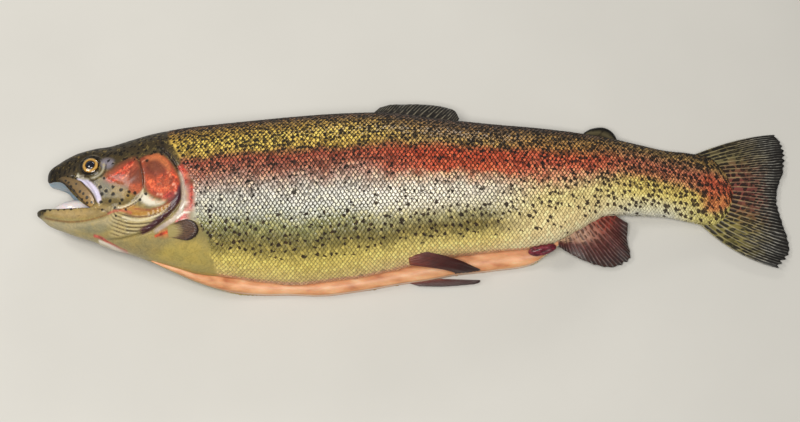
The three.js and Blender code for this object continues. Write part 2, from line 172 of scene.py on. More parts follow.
def material(name, roughness, **constants):
    """A new material: (material, the sockets of its surface, object coordinates)."""
    made = bpy.data.materials.new(name)
    made.use_nodes = True
    surface = made.node_tree.nodes["Principled BSDF"].inputs
    surface["Roughness"].default_value = roughness
    for socket, value in constants.items():
        surface[socket.replace("_", " ")].default_value = value
    return made, surface, node(made.node_tree, "TexCoord")["Object"]


floor_mesh = bmesh.new()
bmesh.ops.create_grid(floor_mesh, x_segments=1, y_segments=1, size=3.0)
floor_data = bpy.data.meshes.new("table_top")
floor_mesh.to_mesh(floor_data)
floor_mesh.free()
table_top = add_object("table_top", floor_data)
stone, surface, place = material("pale_table", 0.55)
wire(surface["Base Color"], blend(mottle(place, 9.0, 4.0), "c9c8c4", "d3d2ce"))
floor_data.materials.append(stone)

# ---- Skin ----
# One skin covers head, jaws, gill covers, trunk and tail stalk. It starts deep in the throat,
# comes out over the lips, and runs back round the body to the tail, with the two thin walls of
# the slit belly turned in along its lower edge. Bone and gill covers show through it as relief.
FULLNESS = 2.2  # 2 is an ellipse, more is squarer
COAT_DEPTH = 0.35  # the scaled skin lies this far (mm) inside the fish's outline
# Behind the tip of the lower jaw (mm): back, left and right edge of the belly, widest line, half
# width, height of the middle, and how far the left and right halves of the belly sag.
TRUNK = [
    [42, 34.2, -35.5, -35.5, 4.8, 20.8, 27.3, 0, 0], [52, 35.6, -40, -40, 3.8, 22.5, 27.5, 0, 0],
    [67, 40, -44.5, -44.5, 4.6, 25, 28.2, 0, 0], [82, 44.5, -49.2, -49.6, 5.2, 26.5, 28.7, 1, 2],
    [96, 47.3, -53, -55.4, 5.2, 27.5, 28.9, 3.4, 5], [118, 51, -58.4, -63.6, 5, 29, 28.4, 7.5, 11],
    [147, 54.3, -61, -69, 7, 31, 27.8, 12, 20.5], [183, 58.1, -64.3, -69.9, 9.2, 32, 27.5, 14, 23.5],
    [219, 60.9, -60.9, -68.8, 12.2, 32, 27.5, 14, 23.5], [256, 61.4, -54.7, -62.5, 15, 31.5, 27.5, 13, 23.5],
    [292, 57.2, -45.6, -56.7, 16, 29.5, 26.5, 11, 22.5], [329, 54.3, -40.5, -51.4, 16.4, 26, 24, 8, 20],
    [358, 52.9, -37.7, -46.6, 16.6, 23, 21.5, 5, 16.5], [376, 51.9, -33.2, -36, 17.2, 20.5, 19.5, 2, 6],
    [395, 50.3, -22.9, -22.9, 19.6, 18, 17.5, 0, 0], [414, 48.2, -12.5, -12.5, 21, 15.5, 15, 0, 0],
    [440, 43.1, -11.2, -11.2, 19.2, 12.5, 12.5, 0, 0], [458, 39.6, -11.8, -11.8, 15.8, 10.5, 10.5, 0, 0],
    [477, 38.2, -15.2, -15.2, 12.6, 8, 8.5, 0, 0], [493, 35, -17, -17, 9, 5.5, 6.8, 0, 0],
    [504, 25, -9, -9, 8, 3.6, 5.9, 0, 0], [510, 12, 4, 4, 8, 1, 5.5, 0, 0],
]
# Snout, as the trunk, with the lower edge as the lip would reach it if the flank went on down.
SNOUT = [
    [6.2, 13.2, 11.2, 11.2, 12.2, 0.3, 25.5, 0, 0], [8.4, 19, 5.8, 5.8, 12.5, 6.6, 25.5, 0, 0],
    [14, 23, 1.6, 1.6, 12, 10.6, 25.7, 0, 0], [20, 26.8, -2.3, -2.3, 11, 13.4, 26, 0, 0],
    [28, 30.8, -17.4, -17.4, 8.4, 16.2, 26.4, 0, 0], [36, 33, -28.6, -28.6, 6, 18.6, 26.9, 0, 0],
]
CHIN = [
    [0, -13, -15.2, -15.2, -14, 0.3, 26, 0, 0], [3.5, -10, -18.6, -18.6, -13.2, 5.4, 26, 0, 0],
    [8, -10, -22.6, -22.6, -12.8, 8, 26, 0, 0], [14, -6, -25.7, -25.7, -11.6, 10.6, 26, 0, 0],
    [20, 0, -27.8, -27.8, -9, 12.9, 26.2, 0, 0], [29, 10, -31.2, -31.2, -3, 16, 26.5, 0, 0],
]
UPPER_LIP = [[6.2, 11.6], [8.4, 7.6], [14, 6.9], [20, 4.6], [28, -4.5], [36, -12.2], [42, -16.3]]
LOWER_RIM = [[0, -14.4], [3.5, -13.1], [8, -13.2], [14, -14], [20, -14.6], [29, -14.9], [36, -15.4],
             [42, -16.3]]
MOUTH_CORNER = 42.0
CORNER_TURN = 0.337  # how far up from the belly edge the mouth's corner sits: 0.5 is the widest line
SNOUT_TIP = 6.2
THROAT = np.array([58.0, -14.0, 27.3])
SLIT = {"from": 84, "to": 378, "ease": 26, "depth": 22, "left": 4.5, "right": 3.5, "lip": 1.2, "gap": 0.8}


def stations(rows, x):
    """Smooth curve through the rows (first column x) for every other column at each x."""
    rows = np.asarray(rows, float)
    xs, ys = rows[:, 0], rows[:, 1:]
    slope = np.empty_like(ys)
    slope[1:-1] = (ys[2:] - ys[:-2]) / (xs[2:] - xs[:-2])[:, None]
    slope[0] = (ys[1] - ys[0]) / (xs[1] - xs[0])
    slope[-1] = (ys[-1] - ys[-2]) / (xs[-1] - xs[-2])
    i = np.clip(np.searchsorted(xs, x, side="right") - 1, 0, len(xs) - 2)
    h = (xs[i + 1] - xs[i])[..., None]
    t = np.clip((x - xs[i]) / (xs[i + 1] - xs[i]), 0, 1)[..., None]
    return ((2 * t**3 - 3 * t**2 + 1) * ys[i] + (t**3 - 2 * t**2 + t) * slope[i] * h
            + (3 * t**2 - 2 * t**3) * ys[i + 1] + (t**3 - t**2) * slope[i + 1] * h)


def round_nose(x, tip):
    """Even steps of this measure give a rounded tip: it runs as the root of x up to the corner."""
    reach = MOUTH_CORNER - tip
    x = np.asarray(x, float)
    return np.where(x < MOUTH_CORNER, np.sqrt(np.clip(x - tip, 0, None) / reach),
                    1 + (x - MOUTH_CORNER) / (2 * reach))


def measured(rows, tip):
    """The rows, with their first column as the measure of round_nose."""
    rows = np.array(rows, float)
    rows[:, 0] = round_nose(rows[:, 0], tip)
    return rows


UPPER_TABLE = measured(SNOUT + TRUNK, SNOUT_TIP)
LOWER_TABLE = measured(CHIN + TRUNK, 0.0)
LIP_TABLE = measured(UPPER_LIP, SNOUT_TIP)
RIM_TABLE = measured(LOWER_RIM, 0.0)


def smooth(value, low, high):
    t = np.clip((value - low) / (high - low), 0, 1)
    return t * t * (3 - 2 * t)


def on_floor(z, softness=3.0):
    """The underside flattens softly where it meets the table."""
    return np.where(z >= softness, z, np.where(z <= -softness, 0, (z + softness) ** 2 / (4 * softness)))


def bite(back, fore, axis, lip):
    """The angle on a section where its flank meets the lip."""
    down = np.clip((axis - lip) / (axis - back), 0, 1)
    up = np.clip((lip - axis) / (fore - axis), 0, 1)
    return np.arcsin(np.where(lip < axis, -down ** (FULLNESS / 2), up ** (FULLNESS / 2)))


def ripple(x, seed, steps=(0.05, 0.09, 0.16)):
    """A smooth seeded wave of about unit height along x in mm."""
    phases = np.random.default_rng(seed).uniform(0, 2 * np.pi, len(steps))
    return sum(np.sin(x * step + phase) for step, phase in zip(steps, phases)) / len(steps) * 1.4


def flank(x, angle, side, lower=False):
    """Points (mm) of the flank: angle is -90 degrees at the belly edge and 90 on the back."""
    table, tip = (LOWER_TABLE, 0.0) if lower else (UPPER_TABLE, SNOUT_TIP)
    back, left, right, axis, half, mid, sag_left, sag_right = np.moveaxis(
        stations(table, round_nose(x, tip)), -1, 0)
    slit = smooth(x, 90, 130) * (1 - smooth(x, 350, 380))
    belly = np.where(side > 0, left + 0.35 * slit * ripple(x, 3), right + 0.45 * slit * ripple(x, 5))
    sag = np.where(side > 0, sag_left, sag_right)
    inset = COAT_DEPTH * smooth(x, 100, 130)
    back, half, belly = back - inset, half - inset, belly + inset
    power = 2 / FULLNESS
    along = np.abs(np.sin(angle)) ** power
    across = np.clip(np.cos(angle), 0, None) ** power
    y = np.where(angle > 0, axis + along * (back - axis), axis - along * (axis - belly))
    z = mid + side * half * across - np.where(angle > 0, 0, sag * along**2)
    return np.stack([x + 0 * y, y, z], axis=-1)


def upper_angle(x, share):
    """Angle on the section at x of the line that starts share of the way from mouth corner to snout."""
    s = stations(UPPER_TABLE, round_nose(x, SNOUT_TIP))
    lip = stations(LIP_TABLE, np.minimum(round_nose(x, SNOUT_TIP), 1.0))[..., 0]
    low = np.where(x < MOUTH_CORNER, bite(s[..., 1], s[..., 0], s[..., 3], lip), (CORNER_TURN - 0.5) * np.pi)
    first = 1 - np.clip((x - SNOUT_TIP) / (MOUTH_CORNER - SNOUT_TIP), 0, 1) ** 0.75
    part = np.clip((share - first) / np.clip(1 - first, 1e-6, None), 0, 1)
    return low + part * (np.pi / 2 - low)


def lower_angle(x, share):
    """The same for the lower jaw: share goes from the keel to the mouth corner."""
    s = stations(LOWER_TABLE, round_nose(x, 0.0))
    rim = stations(RIM_TABLE, np.minimum(round_nose(x, 0.0), 1.0))[..., 0]
    high = np.where(x < MOUTH_CORNER, bite(s[..., 1], s[..., 0], s[..., 3], rim),
                    (CORNER_TURN - 0.5) * np.pi)
    last = np.clip(x / MOUTH_CORNER, 0, 1) ** 0.75
    part = np.clip(share / np.clip(last, 1e-6, None), 0, 1)
    return -np.pi / 2 + part * (high + np.pi / 2)


LINING, LOWER, UPPER = 8, 64, 86  # columns of the skin from the slit's depth round to the back
MOUTH_ROWS, HEAD_ROWS, GILL_ROWS, TRUNK_ROWS = 14, 112, 86, 84
HEAD_END, GILL_END, TAIL_END = 60.0, 110.0, 510.0
columns = ([("lining", k / LINING, 1) for k in range(LINING)]
           + [("lower", k / LOWER, 1) for k in range(LOWER)]
           + [("upper", k / UPPER, 1) for k in range(UPPER)]
           + [("upper", 1 - k / UPPER, -1) for k in range(UPPER)]
           + [("lower", 1 - k / LOWER, -1) for k in range(LOWER)]
           + [("lining", 1 - k / LINING, -1) for k in range(LINING + 1)])
kind = np.array([{"lining": 0, "lower": 1, "upper": 2}[c[0]] for c in columns])
share = np.array([c[1] for c in columns])
side = np.array([c[2] for c in columns], float)
first_x = np.where(kind == 2, SNOUT_TIP + (MOUTH_CORNER - SNOUT_TIP) * (1 - share) ** (4 / 3),
                   np.where(kind == 1, MOUTH_CORNER * share ** (4 / 3), 0.0))


def slit_lining(x, share, side):
    """Points of the slit's two walls, from the edge of the belly (share 1) to its depth (0)."""
    left, right = (flank(x, np.full_like(x, -np.pi / 2), np.full_like(x, s)) for s in (1.0, -1.0))
    ease = SLIT["ease"]
    opening = smooth(x, SLIT["from"], SLIT["from"] + ease) * (1 - smooth(x, SLIT["to"] - ease, SLIT["to"]))
    inner_left, inner_right = left[..., 2] - SLIT["left"] * opening, right[..., 2] + SLIT["right"] * opening
    level = (inner_left + inner_right) / 2
    deep = left[..., 1] + SLIT["depth"] * opening
    half_deep = left[..., 1] + SLIT["depth"] * opening / 2
    own = np.where((side > 0)[..., None], left, right)
    inner = np.where(side > 0, inner_left, inner_right)
    knots = np.array([0.0, 0.4, 0.75, 1.0])
    y = np.stack([deep, half_deep, own[..., 1] + SLIT["lip"] * opening, own[..., 1]])
    z = np.stack([level, level + side * SLIT["gap"] * opening, inner, own[..., 2]])
    i = np.clip(np.searchsorted(knots, share, side="right") - 1, 0, 2)
    t = (share - knots[i]) / (knots[i + 1] - knots[i])
    here, after = (i, *np.indices(share.shape)), (i + 1, *np.indices(share.shape))
    return np.stack([x, y[here] * (1 - t) + y[after] * t, z[here] * (1 - t) + z[after] * t], axis=-1)


def skin_points(x, kind, share, side):
    """Points of the skin at x for columns of each kind, without relief."""
    x, kind, share, side = np.broadcast_arrays(x, kind, share, side)
    upper = flank(x, upper_angle(x, share), side)
    lower = flank(x, lower_angle(x, share), side, lower=True)
    lining = slit_lining(x, share, side)
    points = np.where((kind == 2)[..., None], upper, np.where((kind == 1)[..., None], lower, lining))
    closed = (kind == 0) & (x < SLIT["from"])
    keel = flank(x, np.full_like(x, -np.pi / 2), side, lower=True)
    return np.where(closed[..., None], keel, points)


v = (np.arange(HEAD_ROWS + 1) / HEAD_ROWS)[:, None] ** 1.6
head_x = first_x[None, :] + (HEAD_END - first_x[None, :]) * v
gill_x = np.linspace(HEAD_END, GILL_END, GILL_ROWS + 1)[1:, None] + 0 * first_x
trunk_x = np.linspace(GILL_END, TAIL_END, TRUNK_ROWS + 1)[1:, None] + 0 * first_x
outside_x = np.concatenate([head_x, gill_x, trunk_x])
outside = skin_points(outside_x, kind[None, :], share[None, :], side[None, :])

# The inside of the mouth runs from the lips over palate and floor to the throat.
lips = outside[0]
w = (np.arange(MOUTH_ROWS, 0, -1) / MOUTH_ROWS)[:, None, None] ** 1.25
arch = np.where(kind == 2, np.sin(np.pi / 2 * np.clip(share / 0.4, 0, 1)), 0)
dip = np.where(kind == 2, 0, np.sin(np.pi / 2 * np.clip((1 - share) / 0.4, 0, 1)))
dip = np.where(kind == 0, 1, dip)
palate = lips.copy()
palate[:, 0] += 6 + 6 * (1 - arch)
palate[:, 1] += arch * (8.0 - lips[:, 1]) + dip * (-23.0 - lips[:, 1])
palate[:, 2] = THROAT[2] + (lips[:, 2] - THROAT[2]) * 0.55
inside = (1 - w) ** 2 * lips + 2 * w * (1 - w) * palate + w**2 * THROAT
skin_grid = np.concatenate([inside, outside])
rows_total, columns_total = skin_grid.shape[:2]


def grid_normals(grid):
    """Unit normals of a grid of points (rows from head to tail, columns from belly round the left)."""
    along = np.gradient(grid, axis=0)
    around = np.gradient(grid, axis=1)
    normal = np.cross(along, around)
    size = np.linalg.norm(normal, axis=-1, keepdims=True)
    return normal / np.maximum(size, 1e-9)


def spline(points, steps=12):
    """A smooth open curve through the points, as an array."""
    p = np.asarray(points, float)
    p = np.concatenate([[2 * p[0] - p[1]], p, [2 * p[-1] - p[-2]]])
    t = np.linspace(0, 1, steps, endpoint=False)[:, None]
    parts = [0.5 * (2 * b + (c - a) * t + (2 * a - 5 * b + 4 * c - d) * t**2 + (3 * b - a - 3 * c + d) * t**3)
             for a, b, c, d in zip(p, p[1:], p[2:], p[3:])]
    return np.concatenate(parts + [p[-2:-1]])


def distance(points, line):
    """(distance, share along the line, side of it) of each 2-D point to a line of points."""
    best = np.full(len(points), 1e9)
    where = np.zeros(len(points))
    hand = np.ones(len(points))
    total = len(line) - 1
    for k, (a, b) in enumerate(zip(line, line[1:])):
        edge = b - a
        t = np.clip((points - a) @ edge / max(edge @ edge, 1e-12), 0, 1)
        offset = points - a - t[:, None] * edge
        d = np.linalg.norm(offset, axis=1)
        near = d < best
        best[near] = d[near]
        where[near] = (k + t[near]) / total
        hand[near] = np.sign(edge[0] * offset[near, 1] - edge[1] * offset[near, 0])
    return best, where, hand


EYE = np.array([40.2, 15.6])
COVER_EDGE = spline([(88, 28), (92.5, 24), (97.5, 19), (105.4, 5.5), (107.3, -6.2), (103.4, -18.2),
                     (92.6, -27.6), (85.2, -32.9), (67, -37), (52, -36.6), (44, -34)])
PREOPERCLE = spline([(72.5, 24), (77, 16), (79.4, 5), (79.6, -5), (75.5, -12.5), (69, -17), (60, -19)])
COVER_FLOOR = spline([(63, -19.5), (72, -22.6), (82, -22.8), (92, -20.8), (100, -17.6), (105.5, -12)])
JAW_LINE = spline([(4, -17.2), (12, -20.6), (24, -24), (38, -25.4), (52, -23.2), (60, -20.2)])
MAXILLA_FOLD = spline([(24, 10.8), (31, 9), (37, 4), (42, -2), (45.5, -8.5), (46, -13.5)])
NOSTRILS = np.array([[24.5, 21.5], [27.8, 20.4]])
GILL_RAY_PITCH = 2.35
RELIEF_END = 125.0
LIP_ROWS = 12  # rows over which the relief rises behind the lips


def beside(points, line):
    """(distance, less than 0 on the left of the line's way; share along it) of each point."""
    reach, along, hand = distance(points, line)
    return np.where(hand < 0, reach, -reach), along


def ridge(reach, centre, width):
    """A smooth ridge of height 1 at this distance."""
    return np.exp(-((reach - centre) / width) ** 2)


def relief(flat):
    """How far (mm) bone, gill cover and folds stand out of the head's smooth form at these points."""
    x = flat[:, 0]
    # The eye's socket, the lid round it and the groove round the lid.
    d = np.linalg.norm(flat - EYE, axis=1)
    out = 0.75 * ridge(d, 7.6, 1.1) - 0.35 * ridge(d, 10.2, 1.3) - 4.2 * (1 - smooth(d, 5.4, 6.7))
    # The gill cover's free edge and the gap behind it.
    inside, along = beside(flat, COVER_EDGE)
    rise = smooth(x, 44, 66) * smooth(along, 0.0, 0.08)
    out += rise * 0.95 * smooth(inside, -0.1, 0.55) * (1 - 0.75 * smooth(inside, 3, 22))
    out -= rise * 1.5 * ridge(inside, -1.1, 0.75) * smooth(along, 0.0, 0.1)
    # The cheek bone's rear edge.
    ahead, along = beside(flat, PREOPERCLE)
    middle = smooth(along, 0, 0.12) * (1 - smooth(along, 0.9, 1))
    out += middle * 0.55 * smooth(-ahead, -0.2, 0.8) * (1 - smooth(-ahead, 2, 9))
    out -= middle * 0.7 * ridge(ahead, 0.6, 0.7)
    # The folds of skin over the gill rays under the cover.
    under = beside(flat, COVER_FLOOR)[0] * smooth(x, 58, 70)
    folded = (inside > 0) & (under > 0)
    folds = np.sin(under * 2 * np.pi / GILL_RAY_PITCH)
    out += 0.42 * folded * smooth(under, 0, 1.2) * smooth(inside, 0, 1.2) * folds
    out -= 0.7 * ridge(under, 0.3, 0.5) * smooth(x, 64, 72) * (inside > 0)
    # The lower jaw's bone, the fold behind the upper jaw and the nostrils.
    above = -beside(flat, JAW_LINE)[0]
    out += 0.5 * smooth(above, -0.8, 0.8) * (1 - smooth(above, 2, 6)) * (x < 62) * smooth(x, 2, 8)
    below, along = beside(flat, MAXILLA_FOLD)
    out -= ridge(below, 0.9, 1.0) * smooth(along, 0.0, 0.2)
    out += 0.45 * ridge(below, -1.4, 1.1) * smooth(along, 0.05, 0.3)
    for nostril in NOSTRILS:
        d = np.linalg.norm((flat - nostril) * (1, 1.3), axis=1)
        out += 0.25 * ridge(d, 1.9, 0.6) - 1.3 * ridge(d, 0, 0.85)
    return out


outer = np.zeros((rows_total, columns_total), bool)
outer[MOUTH_ROWS:] = (outside_x < RELIEF_END) & (kind != 0)[None, :]
height = np.zeros(outer.shape)
height[outer] = relief(skin_grid[outer][:, :2])
height[MOUTH_ROWS:MOUTH_ROWS + LIP_ROWS] *= np.linspace(0, 1, LIP_ROWS)[:, None]
skin_grid = skin_grid + grid_normals(skin_grid) * height[..., None]
skin_grid[..., 2] = on_floor(skin_grid[..., 2])

# Fish coordinates for the colours: length behind the jaw tip, turn from belly edge (0) over the
# widest line (0.5) to the back (1), and millimetres round the body from the middle of the back.
turn = np.where(kind == 2, CORNER_TURN + (1 - CORNER_TURN) * share,
                np.where(kind == 1, CORNER_TURN * share, 0.1 * (share - 1)))
along_x = np.concatenate([skin_grid[:MOUTH_ROWS, :, 0], outside_x])
strides = np.diff(skin_grid[..., 1:], axis=1, prepend=skin_grid[:, :1, 1:])
girth = np.cumsum(np.linalg.norm(strides, axis=-1), axis=1)
girth -= girth[:, LINING + LOWER + UPPER][:, None]
fish_coordinates = np.stack([along_x, np.broadcast_to(turn, along_x.shape), girth], axis=-1)
LINING_OF_MOUTH, LINING_OF_BELLY = 1, 2
WELD = 2e-6


def bare_object(name, mesh, *materials):
    """A finished object at the origin, from a bmesh in metres that is freed here."""
    data = bpy.data.meshes.new(name)
    mesh.to_mesh(data)
    mesh.free()
    for each in materials:
        data.materials.append(each)
    data.polygons.foreach_set("use_smooth", np.ones(len(data.polygons), bool))
    made = add_object(name, data)
    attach(made, "root")
    return made


def grid_sheet(points, name, values):
    """A bmesh grid moved to points (rows, columns, xyz) in mm, which carries values under name:
    (mesh, row and column of each vertex)."""
    rows, cols = points.shape[:2]
    sheet = bmesh.new()
    bmesh.ops.create_grid(sheet, x_segments=cols - 1, y_segments=rows - 1, size=1.0)
    sheet.verts.ensure_lookup_table()
    order = np.array([v.co[:2] for v in sheet.verts])
    col = np.rint((order[:, 0] + 1) / 2 * (cols - 1)).astype(int)
    row = np.rint((order[:, 1] + 1) / 2 * (rows - 1)).astype(int)
    layer = sheet.verts.layers.float_vector.new(name)
    places = (points[row, col] - FISH_MIDDLE) * MM
    for v, place, value in zip(sheet.verts, places, values[row, col]):
        v.co = place
        v[layer] = value
    return sheet, row, col


def close_up(mesh):
    """Welds a sheet where its edges meet, fills what is left open and turns its faces out."""
    bmesh.ops.remove_doubles(mesh, verts=mesh.verts, dist=WELD)
    bmesh.ops.holes_fill(mesh, edges=[e for e in mesh.edges if e.is_boundary], sides=0)
    bmesh.ops.recalc_face_normals(mesh, faces=mesh.faces)


def within(flat, outline, feather):
    """1 inside a smooth closed outline (mm), fading over feather at its edge."""
    loop = spline(list(outline) + [outline[0]], 6)
    x, y = flat.T
    odd = np.zeros(len(flat), bool)
    for (ax, ay), (bx, by) in zip(loop, loop[1:]):
        odd ^= ((ay > y) != (by > y)) & (x < (bx - ax) * (y - ay) / (by - ay + 1e-12) + ax)
    reach = distance(flat, loop)[0]
    return smooth(np.where(odd, reach, -reach), -feather, feather)


def stroke(flat, line, width, feather):
    """1 along a smooth line (mm) of this half width, fading over feather at its edge and its ends."""
    reach, along, _ = distance(flat, spline(line, 8))
    body = 1 - smooth(reach, width - feather, width + feather)
    return body * smooth(along, 0, 0.06) * (1 - smooth(along, 0.94, 1))


# Head colours, laid over each other from the broadest to the finest. Each is a colour, how
# strongly it covers, and where it goes: a patch with its fade, or a line with its half width.
SCALED_EDGE = [(89, 60), (94.5, 42.9), (97.5, 31.5), (102.3, 24.6), (108.1, 11.7), (111.8, 7.0),
               (116.4, 0.2), (118.4, -8.0), (118.7, -15.7), (118.4, -23.3), (120.3, -28.7), (123.7, -37.8),
               (134, -60), (140, -80)]
HEAD_PATCHES = [
    # belly before the scales, and throat
    ("a89854", 0.9, 5.0, [(94, -41), (106, -42), (118, -37), (126, -46), (134, -62), (112, -68), (92, -58),
        (80, -50)]),
    ("8e8258", 0.8, 3.0, [(50, -34), (66, -39.6), (80, -40.6), (94, -37), (98, -41), (88, -48), (70, -45),
        (56, -39)]),
    # cheek
    ("65562a", 0.9, 2.5, [(51, 2), (57, 3), (64.6, -1), (72, -4), (77, -9), (74, -13), (68, -15.5),
        (62, -16.5), (54, -15.5), (49, -11.2), (47.5, -4)]),
    ("92762e", 0.65, 1.5, [(58, -1), (63, -3), (70, -6), (74, -9), (70, -12), (63, -8), (57, -6)]),
    ("4c4832", 0.85, 1.8, [(48.5, 1), (53, 2), (55.5, -3), (53, -9), (50.5, -12), (49, -6)]),
    # red of the cheek
    ("a84632", 0.7, 3.5, [(52, 8), (59.3, 13), (66.4, 17), (72, 18.6), (75.4, 15.8), (78.7, 7.8),
        (80.5, 0.2), (77.8, -6.6), (73.4, -4.9), (67.5, -2.2), (61.6, -0.3), (55.6, 1.7), (51.7, 4)]),
    ("c43c26", 0.95, 1.2, [(53, 4), (58, 7.2), (64, 11.4), (69, 15.6), (72, 16), (69.5, 11), (66, 7),
        (61, 3), (56, 1.4)]),
    # gill cover
    ("a8402a", 0.95, 2.0, [(77.4, 18), (83.7, 20.6), (91, 20), (97.1, 15.8), (101.7, 9.6), (104.8, 3.6),
        (106, -1.9), (104.9, -7), (101.4, -11), (96.7, -12.6), (90.9, -11.4), (85.6, -9), (82.1, -4.3),
        (80.6, 4.7), (78.2, 12.5)]),
    ("7d4a2a", 0.75, 3.0, [(80, 18), (87, 19.6), (93, 17), (96, 11), (90, 7), (83, 8.6), (80, 13)]),
    ("d8603c", 0.75, 2.0, [(83, 5), (88, 6.4), (94, 5.4), (101, 1), (103.4, -4.4), (97, -7.4), (89, -6.4),
        (83.6, -1)]),
    ("a02c34", 0.7, 1.8, [(100, 3), (105, -1), (105, -7.4), (101, -11.4), (94, -13), (97, -9), (101, -5)]),
    ("6e3220", 0.75, 2.2, [(81.2, 15.8), (86.2, 16.3), (91.9, 15.4), (95.2, 11.3), (96.0, 6.6), (92.4, 2.7),
        (87.5, 0.9), (82.4, 4.4), (80.3, 10.4)]),
    ("b86a42", 0.8, 1.4, [(80.3, 19.4), (89.6, 21.5), (96.2, 16.0), (99.6, 9.9), (97.9, 7.2), (93.9, 12.6),
        (89.4, 16.2), (83.7, 16.4)]),
    ("cc4a26", 0.85, 1.6, [(91.8, 4.1), (100.4, 5.9), (105.5, 0.6), (105.7, -5.8), (100.9, -7.6),
        (94.6, -5.6), (88.4, -4.2), (88.2, -0.3)]),
    ("6c1c2c", 0.8, 1.6, [(98.5, -11.9), (103.4, -9.5), (106.4, -8.3), (105.4, -15.1), (101.1, -18.7),
        (96.7, -17.4)]),
    # rear of the cheek
    ("5e2c1c", 0.7, 1.6, [(70.4, 5.5), (76.5, 10.6), (78.1, 2.6), (77.6, -1.2), (71.3, -1.0)]),
    ("b04c28", 0.7, 1.4, [(69.4, -0.9), (78.9, -0.7), (78.7, -5.8), (74.7, -8.7), (70.2, -6.7)]),
    # white patch and orange rim under the gill cover
    ("e8e2d2", 0.9, 1.6, [(78.6, -7.4), (83, -9.4), (86.7, -12.2), (91, -14.2), (95.3, -15.2), (91, -16.9),
        (85.3, -17), (80.6, -14.9), (77.3, -11.4)]),
    ("b07f36", 0.9, 1.4, [(60, -17.4), (70.8, -16), (78, -18), (85.3, -19.6), (92.5, -18.2), (98.2, -15.8),
        (101, -17.6), (94, -22.4), (85.4, -24.6), (76.7, -24.4), (67.5, -21.9)]),
    # behind the eye, and the pale fold by the upper jaw
    ("8f8b9c", 0.7, 2.0, [(48.6, 20.4), (52.6, 20.8), (57.0, 18.4), (56, 13.4), (51.3, 12.2), (48.2, 15)]),
    ("d5d0ea", 1.0, 0.7, [(30.2, 7.1), (36, 6.0), (42, 2.2), (47, -3.7), (49.6, -11.2), (46.9, -12.7),
        (43.6, -5.9), (38.6, 0.0), (32.8, 4.4)]),
    # lower jaw
    ("958052", 0.92, 1.4, [(4, -15.4), (18.6, -14.6), (33.8, -14.4), (46, -14.2), (58, -16.8),
        (60.5, -20.6), (48.8, -22.6), (33.8, -22.6), (18.6, -21), (6.4, -18)]),
    ("b49f78", 0.5, 2.0, [(12, -16.4), (24, -16.6), (36, -17.6), (44, -19), (34, -21), (20, -19.6)]),
    ("a99f80", 0.92, 1.8, [(6, -19.6), (18.6, -23), (33.8, -25), (48.8, -24.2), (60, -21.6), (62, -25),
        (54, -30), (48.8, -32.4), (33.5, -29.8), (18.1, -27.4), (7, -23.4)]),
    ("7c7c62", 0.65, 1.6, [(30, -28), (40, -27.4), (50, -27.6), (57, -31), (50, -33.4), (38, -31.6)]),
    # dark tips of chin and snout
    ("17130c", 0.92, 2.0, [(-1, -12), (4, -11.6), (7.4, -13.8), (5.4, -17.6), (0, -18)]),
    ("120e08", 0.9, 3.0, [(4, 12), (7, 18), (12, 24), (17, 26), (13, 18), (10, 12), (7.6, 8.4)]),
    # below the gill opening
    ("c46a3c", 0.65, 2.0, [(92, -33.4), (100, -33), (107, -33.4), (100, -37.4), (92, -38)]),
]
